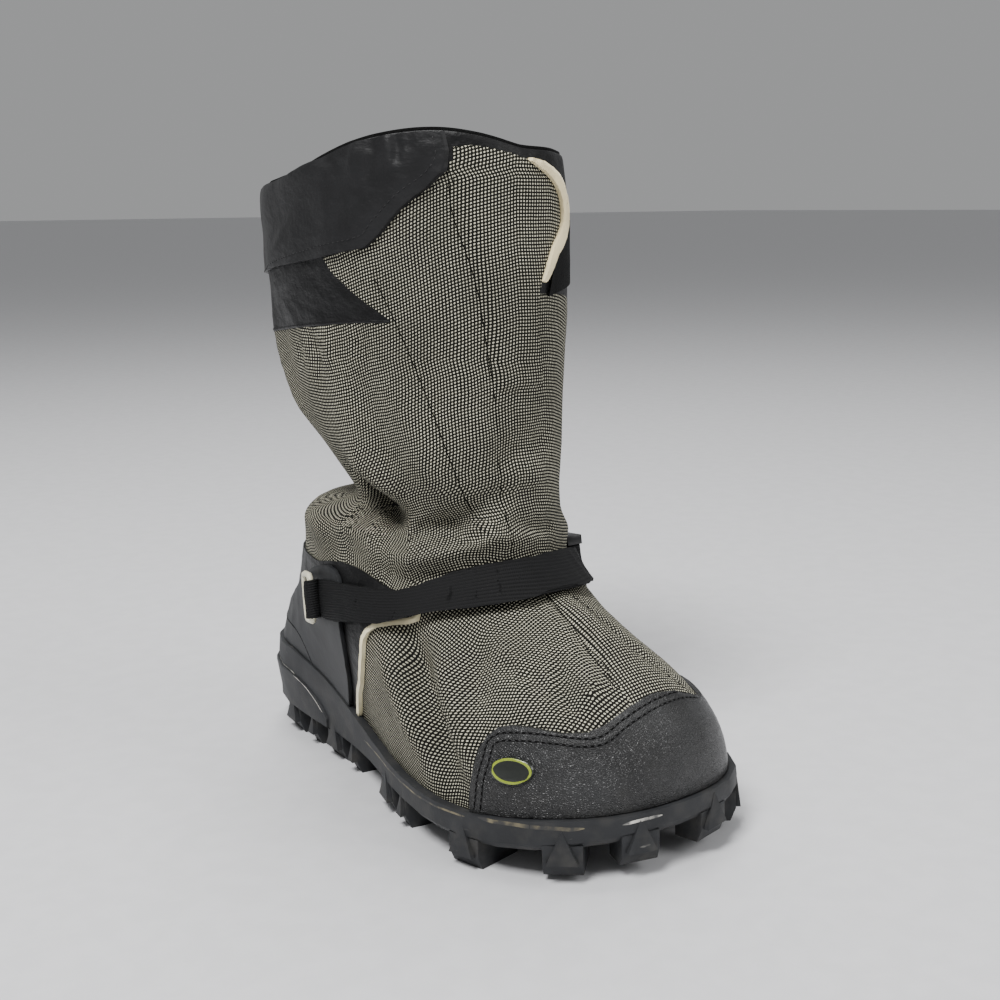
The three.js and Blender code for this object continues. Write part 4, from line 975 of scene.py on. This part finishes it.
class Trim:
    """Lines and stitches that lie on finished pieces."""

    # Places across a ribbon as shares of its width, each with its share of the lift
    PROFILE = ((-0.5, 0.02), (-0.3, 0.75), (0, 1), (0.3, 0.75), (0.5, 0.02))
    # How far a ribbon's rim lies above the piece, in millimetres
    CLEAR = 0.03

    def __init__(self, bench: Bench, slot: str) -> None:
        """Takes the bench and a slot name, which is not used."""
        self.bench = bench
        self.slot = slot

    def tie(self, name: str, mesh: bmesh.types.BMesh, look: str) -> None:
        """Makes the object and ties it to the frame."""
        shade(mesh, 60)
        obj = new_object(name, mesh, self.bench.materials[look])
        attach(obj, "root")
        LOG.info("%s: %d faces", obj.name, len(obj.data.polygons))

    def ribbon(self, name: str, line: Line, node: str, look: str, width: float, lift: float,
               step: float = 1.5) -> None:
        """Lays a thin domed strip along a line, with narrower ends.

        Args:
            name: The object's name.
            line: Its corners in millimetres.
            node: The piece it lies on.
            look: Its finish.
            width: Its width in millimetres.
            lift: The height of its middle in millimetres.
            step: The distance of its rows in millimetres.
        """
        tree = nearest_surface(self.bench.made[node])
        places, normals, tangents = laid_on(line, step, tree)
        mesh = bmesh.new()
        rows = []
        last = len(places) - 1
        for i, (place, normal, tangent) in enumerate(zip(places, normals, tangents)):
            side = normal.cross(tangent).normalized()
            end = min(1.0, 0.25 + min(i, last - i) / 3)
            row = []
            for across, rise in self.PROFILE:
                point = place + side * (across * width * end * MM)
                near, _, _, _ = tree.find_nearest(point)
                row.append(mesh.verts.new(near + normal * ((rise * lift * end + self.CLEAR) * MM)))
            rows.append(row)
        for before, after in zip(rows[:-1], rows[1:]):
            for k in range(len(self.PROFILE) - 1):
                mesh.faces.new((before[k], after[k], after[k + 1], before[k + 1]))
        bmesh.ops.recalc_face_normals(mesh, faces=mesh.faces)
        if mesh.faces and mesh.faces[:][0].normal.dot(normals[0]) < 0:
            bmesh.ops.reverse_faces(mesh, faces=mesh.faces)
        self.tie(name, mesh, look)

    def stitches(self, name: str, line: Line, node: str, pitch: float, length: float, thick: float) -> None:
        """Sets a run of stitches along a line.

        Args:
            name: The object's name.
            line: Its corners in millimetres.
            node: The piece it goes through.
            pitch: The distance of the stitches in millimetres.
            length: The length of a stitch in millimetres.
            thick: The thickness of the thread in millimetres.
        """
        places, normals, tangents = laid_on(line, pitch, nearest_surface(self.bench.made[node]))
        mesh = bmesh.new()
        for place, normal, tangent in zip(places, normals, tangents):
            side = normal.cross(tangent).normalized()
            turn = Matrix((tangent, side, normal)).transposed().to_4x4()
            size = Matrix.Diagonal((length / 2 * MM, thick / 2 * MM, thick / 2 * MM, 1))
            middle = Matrix.Translation(place + normal * (0.1 * MM))
            bmesh.ops.create_icosphere(mesh, subdivisions=1, radius=1, matrix=middle @ turn @ size)
        self.tie(name, mesh, "thread")


def inset_line(line: Line, inset: float) -> Line:
    """Moves the cap's edge line into the cap by so many millimetres."""
    points = np.array(line, float)
    centre = np.array((262.0, 0.0, 30.0))
    ahead = centre - points
    tangent = np.gradient(points, axis=0)
    tangent /= np.linalg.norm(tangent, axis=1)[:, None]
    inward = ahead - (ahead * tangent).sum(axis=1)[:, None] * tangent
    away = outward(points)
    inward -= (inward * away).sum(axis=1)[:, None] * away
    inward /= np.linalg.norm(inward, axis=1)[:, None]
    return tuple(tuple(row) for row in points + inward * inset)


def corners_of(mesh: bpy.types.Mesh) -> np.ndarray:
    """Gives the vertex at each corner of a mesh's faces."""
    corner = np.zeros(len(mesh.loops), np.int32)
    mesh.loops.foreach_get("vertex_index", corner)
    return corner


def write_weave(mesh: bpy.types.Mesh, values: np.ndarray) -> None:
    """Writes the weave map of a mesh, in metres, with a row for each corner of its faces."""
    layer = mesh.uv_layers.new(name="weave")
    layer.data.foreach_set("uv", values.astype(np.float32).ravel())


def write_strip_map(obj: bpy.types.Object, line: Line, axis: int) -> None:
    """Writes a weave map with the length along a line and the place across it.

    Args:
        obj: The strap.
        line: Corners of its middle in millimetres.
        axis: The axis that its width follows.
    """
    points = coordinates(obj.data) / MM
    _, run, foot = along_line(points, resample(np.array(line, float), 3.0))
    across = points[:, axis] - foot[:, axis]
    corner = corners_of(obj.data)
    write_weave(obj.data, np.stack([run[corner], across[corner]], axis=1) * MM)


class WeaveMap:
    """Lengths on the shoe's surface that the threads follow, in metres."""

    HEIGHTS = np.arange(92, 312, 4.0)
    TURNS = np.radians(np.arange(-180, 181, 6.0))
    STATIONS = np.arange(60, 280, 8.0)
    LEANS = np.radians(np.arange(-105, 106, 5.0))
    AXIS_X = 82.0
    SECTION_Z = 30.0
    # Farther than any place on the upper is from the middle, and a stand-in where no place is found
    RAY = 0.3
    STAND_IN = 0.05
    # Heights above which the rows run round the shaft, by the place along the shoe
    SHAFT_FOOT = ((60, 100, 140, 160, 172, 190), (96, 95, 98, 104, 108, 108))
    # The vamp's middle strip: its two seams as places across by places along, and its middle
    STRIP_OUTER = ((186, 210, 246), (-2, -3, -7))
    STRIP_INNER = ((196, 228, 252), (9, 14, 29))
    STRIP_START = (150, 130)

    def __init__(self, upper: bpy.types.Object) -> None:
        """Measures the shaft's rings and the vamp's sections on the finished upper."""
        tree = nearest_surface(upper)
        spots = np.array([self.ring(tree, z) for z in self.HEIGHTS])
        round_steps = np.linalg.norm(np.diff(spots, axis=1), axis=2)
        self.rings = np.concatenate([np.zeros((len(spots), 1)), np.cumsum(round_steps, axis=1)], axis=1)
        middle = int(np.argmin(np.abs(self.TURNS - math.radians(-90))))
        self.rings -= self.rings[:, middle:middle + 1]
        up_steps = np.linalg.norm(np.diff(spots, axis=0), axis=2)
        self.rises = np.concatenate([np.zeros((1, spots.shape[1])), np.cumsum(up_steps, axis=0)], axis=0)
        self.rises -= self.rises[-1:]
        self.sections = np.array([self.section(tree, x) for x in self.STATIONS])

    @classmethod
    def outline(cls, tree: BVHTree, centre: Vector, rays: Iterable[Vector]) -> np.ndarray:
        """Gives the places on the outline that rays towards a centre find."""
        spots = []
        for ray in rays:
            hit, _, _, _ = tree.ray_cast(centre + ray * cls.RAY, -ray, cls.RAY)
            spots.append(hit if hit is not None else centre + ray * cls.STAND_IN)
        return np.array(spots)

    def ring(self, tree: BVHTree, height: float) -> np.ndarray:
        """Measures a level ring of the shaft."""
        centre = Vector((self.AXIS_X, 0, height)) * MM
        rays = [Vector((math.cos(t), math.sin(t), 0)) for t in self.TURNS]
        return self.outline(tree, centre, rays)

    def section(self, tree: BVHTree, station: float) -> np.ndarray:
        """Measures an upright section of the vamp."""
        centre = Vector((station, 0, self.SECTION_Z)) * MM
        rays = [Vector((0, math.sin(t), math.cos(t))) for t in self.LEANS]
        spots = self.outline(tree, centre, rays)
        return np.concatenate([[0], np.cumsum(np.linalg.norm(np.diff(spots, axis=0), axis=1))])

    @staticmethod
    def read(table: np.ndarray, rows: np.ndarray, columns: np.ndarray, row: np.ndarray,
             column: np.ndarray) -> np.ndarray:
        """Reads a table between its rows and columns.

        Args:
            table: The table.
            rows: What its rows stand for, evenly spaced.
            columns: What its columns stand for, evenly spaced.
            row: The rows wanted.
            column: The columns wanted.

        Returns:
            The values there.
        """
        r = np.clip((row - rows[0]) / (rows[1] - rows[0]), 0, len(rows) - 1.001)
        c = np.clip((column - columns[0]) / (columns[1] - columns[0]), 0, len(columns) - 1.001)
        i, j = r.astype(int), c.astype(int)
        u, v = r - i, c - j
        return (table[i, j] * (1 - u) * (1 - v) + table[i + 1, j] * u * (1 - v)
                + table[i, j + 1] * (1 - u) * v + table[i + 1, j + 1] * u * v)

    def write_upper(self, obj: bpy.types.Object) -> None:
        """Writes the weave map of a piece of cloth, face by face so that no face spans a join."""
        mesh = obj.data
        points = coordinates(mesh) / MM
        totals = np.zeros(len(mesh.polygons), np.int32)
        mesh.polygons.foreach_get("loop_total", totals)
        centres = np.zeros(len(mesh.polygons) * 3)
        mesh.polygons.foreach_get("center", centres)
        centre = np.repeat(centres.reshape(-1, 3) / MM, totals, axis=0)
        place = points[corners_of(mesh)]
        turn = np.arctan2(place[:, 1], place[:, 0] - self.AXIS_X)
        middle = np.arctan2(centre[:, 1], centre[:, 0] - self.AXIS_X)
        turn = np.where(turn - middle > math.pi, turn - 2 * math.pi, turn)
        turn = np.where(turn - middle < -math.pi, turn + 2 * math.pi, turn)
        whole = self.rings[:, -1] - self.rings[:, 0]
        row = np.interp(place[:, 2], self.HEIGHTS, whole)
        wrapped = np.where(turn > math.pi, turn - 2 * math.pi, turn)
        wrapped = np.where(turn < -math.pi, turn + 2 * math.pi, wrapped)
        around = self.read(self.rings, self.HEIGHTS, self.TURNS, place[:, 2], wrapped)
        around += np.where(turn > math.pi, row, np.where(turn < -math.pi, -row, 0))
        rise = self.read(self.rises, self.HEIGHTS, self.TURNS, place[:, 2], wrapped)
        shaft = np.stack([around, rise], axis=1)
        lean = np.arctan2(place[:, 1], place[:, 2] - self.SECTION_Z)
        up = self.read(self.sections, self.STATIONS, self.LEANS, place[:, 0], lean)
        last = np.interp(place[:, 0], self.STATIONS, self.sections[:, -1])
        lateral = np.stack([place[:, 0] * MM, up], axis=1)
        medial = np.stack([place[:, 0] * MM, last - up], axis=1)
        from_start = np.hypot(place[:, 0] - self.STRIP_START[0], place[:, 2] - self.STRIP_START[1])
        strip = np.stack([from_start * MM, place[:, 1] * MM], axis=1)
        is_shaft = centre[:, 2] > np.interp(centre[:, 0], *self.SHAFT_FOOT)
        is_strip = ~is_shaft & (centre[:, 0] > self.STRIP_START[0])
        is_strip &= centre[:, 1] > np.interp(centre[:, 0], *self.STRIP_OUTER)
        is_strip &= centre[:, 1] < np.interp(centre[:, 0], *self.STRIP_INNER)
        values = np.where((centre[:, 1] > 0)[:, None], medial, lateral)
        values = np.where(is_strip[:, None], strip, values)
        values = np.where(is_shaft[:, None], shaft, values)
        write_weave(mesh, values)


@dataclass
class Upper:
    """The cloth upper with its lining and its black yokes."""

    bench: Bench
    crisp: float = 70
    front_from: float = 140

    def is_yoke_or_shade(self, centres: np.ndarray) -> np.ndarray:
        """Tells which places, in millimetres, lie on black nylon, which on the outer side just under the
        collar strap's edge is partly painted shade of the strap.
        """
        lateral = signed_distance(centres[:, [0, 2]], LATERAL_NYLON_AND_SHADE)
        medial = signed_distance(centres[:, [0, 2]], MEDIAL_NYLON)
        yoke = np.where(centres[:, 1] < 0, lateral, medial) > 0
        front = signed_distance(centres[:, [1, 2]], FRONT_NYLON) > 0
        return yoke | ((centres[:, 0] > self.front_from) & front)

    def build(self) -> None:
        """Cuts the yokes, lays the folds and writes the weave map."""
        piece = Piece(self.bench, "upper", "shell_fabric", self.bench.field.mesh)
        cut_along(piece.mesh, LATERAL_NYLON_AND_SHADE, Side.LATERAL)
        cut_along(piece.mesh, MEDIAL_NYLON, Side.MEDIAL)
        piece.mesh.normal_update()
        centres = np.array([f.calc_center_median() for f in piece.mesh.faces]) / MM
        for face, direction, black in zip(piece.mesh.faces, outward(centres), self.is_yoke_or_shade(centres)):
            inner = face.normal.dot(Vector(direction)) < 0.0
            face.material_index = 1 if inner else 2 if black else 0
        move_to(piece.mesh, self.bench.field.fold(rows_of(piece.mesh)))
        obj = piece.finish("canvas", "lining", "collar", angle=self.crisp)
        WeaveMap(obj).write_upper(obj)


@dataclass
class Sole:
    """The outsole and the insole in it."""

    bench: Bench
    rounding: float = 0.5
    crisp: float = 34
    insole_rounding: float = 0.4

    def build(self) -> None:
        """Rounds and dresses both."""
        outsole = Piece(self.bench, "outsole", "sole_rubber")
        outsole.finish("sole", angle=self.crisp, bevel=self.rounding)
        Piece(self.bench, "insole", "felt").finish("felt", bevel=self.insole_rounding)


@dataclass
class ToeCap:
    """The moulded toe cap with its raised border, and the badge on it."""

    bench: Bench
    longest: float = 2.0
    crisp: float = 50
    border_height: float = 0.55
    border_top: float = 6.2
    border_foot: float = 7.6
    badge_longest: float = 1.5
    badge_rounding: float = 0.3

    def border_rise(self, points: np.ndarray, normals: np.ndarray) -> np.ndarray:
        """Gives the lift of the raised border along the cap's edge, in millimetres."""
        gap, _, _ = along_line(points, np.array(CAP_EDGE, float))
        outer = (normals * outward(points)).sum(axis=1) > 0.3
        flank = smoothstep(self.border_top, self.border_foot, gap)
        return np.where(outer, self.border_height * (1 - flank), 0.0)

    def build(self) -> None:
        """Raises the border and dresses the cap and the badge."""
        cap = Piece(self.bench, "toe_cap", "cap_rubber").soften(self.longest, None)
        cap.shift(self.border_rise).finish("cap", angle=self.crisp)
        badge = Piece(self.bench, "badge", "badge_plastic").soften(self.badge_longest, None)
        badge.finish("badge", bevel=self.badge_rounding)


@dataclass
class Heel:
    """The heel panel, the counter, the pipings and the strap loops."""

    bench: Bench
    longest: float = 3.0
    counter_rounding: float = 0.35
    piping_longest: float = 2.0
    round_crisp: float = 80

    def build(self) -> None:
        """Dresses the panel and the counter, then a piping and a loop on each side."""
        Piece(self.bench, "heel_panel", "nylon").soften(self.longest).finish("collar")
        counter = Piece(self.bench, "heel_counter", "sole_rubber").soften(self.longest, None)
        counter.finish("counter", bevel=self.counter_rounding)
        for side in Side:
            name = side.name.lower()
            piping = Piece(self.bench, f"piping_{name}", "cream_tape").soften(self.piping_longest)
            piping.finish("cream", angle=self.round_crisp)
            loop = Piece(self.bench, f"strap_loop_{name}", "ivory_plastic")
            loop.finish("ivory", angle=self.round_crisp)


@dataclass
class ShaftTrim:
    """The closure flap, its binding, the hook patch and the collar's band and strap."""

    bench: Bench
    longest: float = 2.0
    sunk_outside: float = 1.9
    sunk_inside: float = 0.5
    sunk_reach: float = 5.0
    binding_lift: float = 0.8
    band_longest: float = 3.0
    strap_longest: float = 2.2

    def build(self) -> None:
        """Sinks the flap's sewn edges and dresses all five."""
        flap = Piece(self.bench, "closure_flap", "shell_fabric").soften(self.longest)
        flap.tuck(FLAP_SEWN, self.sunk_outside, self.sunk_inside, self.sunk_reach)
        WeaveMap(self.bench.made["upper"]).write_upper(flap.finish("canvas", angle=60))
        binding = Piece(self.bench, "flap_binding", "cream_tape").soften(self.longest)
        binding.shift(lambda points, normals: np.full(len(points), self.binding_lift))
        binding.finish("elastic", angle=80)
        Piece(self.bench, "hook_patch", "nylon").soften(self.longest).finish("hook")
        Piece(self.bench, "collar_band", "nylon").soften(self.band_longest).finish("hook", angle=60)
        strap = Piece(self.bench, "collar_strap", "nylon").soften(self.strap_longest, 1.0, STRAP_FOLDS)
        strap.finish("strap", angle=50)


@dataclass
class Straps:
    """The webbing over the instep, beside the buckle and behind it."""

    bench: Bench
    longest: float = 2.5
    crisp: float = 60

    def build(self) -> None:
        """Dresses each strap and writes the map that its ribs follow."""
        for name, line in WEBBING_LINES.items():
            strap = Piece(self.bench, name, "webbing").soften(self.longest, None)
            obj = strap.finish("webbing", angle=self.crisp)
            # The tail hangs, so its width lies along the shoe, and that of the others stands upright
            write_strip_map(obj, line, 0 if name == "strap_tail" else 2)


@dataclass
class Buckle:
    """The two halves of the side release buckle."""

    bench: Bench
    rounding: float = 0.6

    def build(self) -> None:
        """Rounds and dresses both."""
        for name in ("buckle_socket", "buckle_plug"):
            Piece(self.bench, name, "black_plastic").finish("black", bevel=self.rounding)


@dataclass
class Seams:
    """The seams, the needle lines and the runs of stitches, with widths in millimetres."""

    bench: Bench
    seam_width: float = 0.45
    seam_lift: float = 0.12
    cap_insets: tuple[float, float] = (2.2, 5.4)
    cap_needle_width: float = 0.8
    counter_needle_width: float = 0.7
    needle_lift: float = 0.03
    yoke_width: float = 1.6
    yoke_lift: float = 0.5
    rim_width: float = 1.1
    rim_lift: float = 0.12
    rim_step: float = 0.8

    def build(self) -> None:
        """Lays the seams of the cloth, then those of the cap, the counter, the strap and the yoke."""
        cloth = Trim(self.bench, "shell_fabric")
        for name, line in SEAMS.items():
            cloth.ribbon(name, line, "upper", "groove", self.seam_width, self.seam_lift)
        cap = Trim(self.bench, "cap_rubber")
        for index, inset in enumerate(self.cap_insets):
            line = inset_line(CAP_EDGE, inset)
            cap.ribbon(f"cap_needle_line_{index}", line, "toe_cap", "groove", self.cap_needle_width,
                       self.needle_lift)
            cap.stitches(f"cap_stitches_{index}", line, "toe_cap", pitch=2.9, length=2.0, thick=0.55)
        counter = Trim(self.bench, "sole_rubber")
        counter.ribbon("counter_line", COUNTER_LINE, "heel_counter", "groove", self.counter_needle_width,
                       self.needle_lift)
        counter.stitches("counter_stitches", COUNTER_LINE, "heel_counter", pitch=2.6, length=1.9, thick=0.5)
        nylon = Trim(self.bench, "nylon")
        nylon.stitches("collar_strap_stitches", STRAP_STITCHES, "collar_strap", pitch=3.0, length=2.2,
                       thick=0.45)
        nylon.ribbon("yoke_edge", YOKE_EDGE, "upper", "collar", self.yoke_width, self.yoke_lift)
        badge = Trim(self.bench, "badge_plastic")
        badge.ribbon("badge_rim", BADGE_RIM, "badge", "rim", self.rim_width, self.rim_lift, self.rim_step)


@dataclass
class Wear:
    """The glue smear and the pale scuffs on the sole's side."""

    bench: Bench
    lift: float = 0.03

    def build(self) -> None:
        """Lays each mark on the sole."""
        trim = Trim(self.bench, "sole_rubber")
        for name, (line, width, look) in WEAR.items():
            trim.ribbon(name, line, "outsole", look, width, self.lift)


@dataclass(frozen=True)
class Lamp:
    """A soft square light, with lengths in metres and its power in watts."""

    name: str
    place: tuple[float, float, float]
    aim: tuple[float, float, float]
    size: float
    power: float


LAMPS = (
    Lamp("key", (0.5, -0.9, 1.7), (0.1, 0, 0.12), 0.6, 44),
    Lamp("fill", (1.4, 0.7, 1.0), (0.12, 0, 0.1), 0.8, 12),
    Lamp("top", (-0.5, 0.3, 1.9), (0.1, 0, 0.15), 0.8, 22),
)


@dataclass
class Studio:
    """The floor, the lamps and the camera."""

    view: View
    floor_size: float = 30
    room_colour: str = "#e8e9ea"
    room_strength: float = 0.42

    def build(self) -> None:
        """Builds the floor, the lamps, the world and the camera."""
        mesh = bmesh.new()
        bmesh.ops.create_grid(mesh, x_segments=1, y_segments=1, size=self.floor_size)
        paint = Finish("painted floor board", "#d2d2d4", 0.7, grain=3, relief=0.02, mottle=0.02)
        new_object("floor", mesh, paint.material())
        for lamp in LAMPS:
            self.hang(lamp)
        world = bpy.data.worlds.new("soft room")
        world.use_nodes = True
        background = world.node_tree.nodes["Background"]
        background.inputs[0].default_value = linear(self.room_colour)
        background.inputs[1].default_value = self.room_strength
        bpy.context.scene.world = world
        self.camera()

    @staticmethod
    def hang(lamp: Lamp) -> None:
        """Hangs a lamp so that it points at its aim."""
        data = bpy.data.lights.new(lamp.name, "AREA")
        data.size = lamp.size
        data.energy = lamp.power
        light = bpy.data.objects.new(lamp.name, data)
        light.location = lamp.place
        light.rotation_euler = (Vector(lamp.aim) - Vector(lamp.place)).to_track_quat("-Z", "Y").to_euler()
        bpy.context.scene.collection.objects.link(light)

    def camera(self) -> None:
        """Sets the camera at the picture's angle."""
        data = bpy.data.cameras.new("camera")
        data.sensor_width = 36
        data.lens = self.view.lens
        data.shift_x = self.view.shift
        data.clip_start = 0.01
        forward = Vector(self.view.forward).normalized()
        right = forward.cross(Vector((0, 0, 1))).normalized()
        up = right.cross(forward)
        roll = math.radians(-self.view.roll)
        across = right * math.cos(roll) - up * math.sin(roll)
        above = up * math.cos(roll) + right * math.sin(roll)
        turn = Matrix((across, above, -forward)).transposed().to_4x4()
        camera = bpy.data.objects.new("camera", data)
        camera.matrix_world = Matrix.Translation(Vector(self.view.place) * MM) @ turn
        bpy.context.scene.collection.objects.link(camera)
        bpy.context.scene.camera = camera


def main() -> None:
    """Builds the scene."""
    logging.basicConfig(level=logging.INFO, format="%(message)s")
    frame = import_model()
    bench = Bench(frame)
    for assembly in (Upper, Sole, ToeCap, Heel, ShaftTrim, Straps, Buckle, Seams, Wear):
        assembly(bench).build()
    Studio(View()).build()


if __name__ == "__main__":
    main()
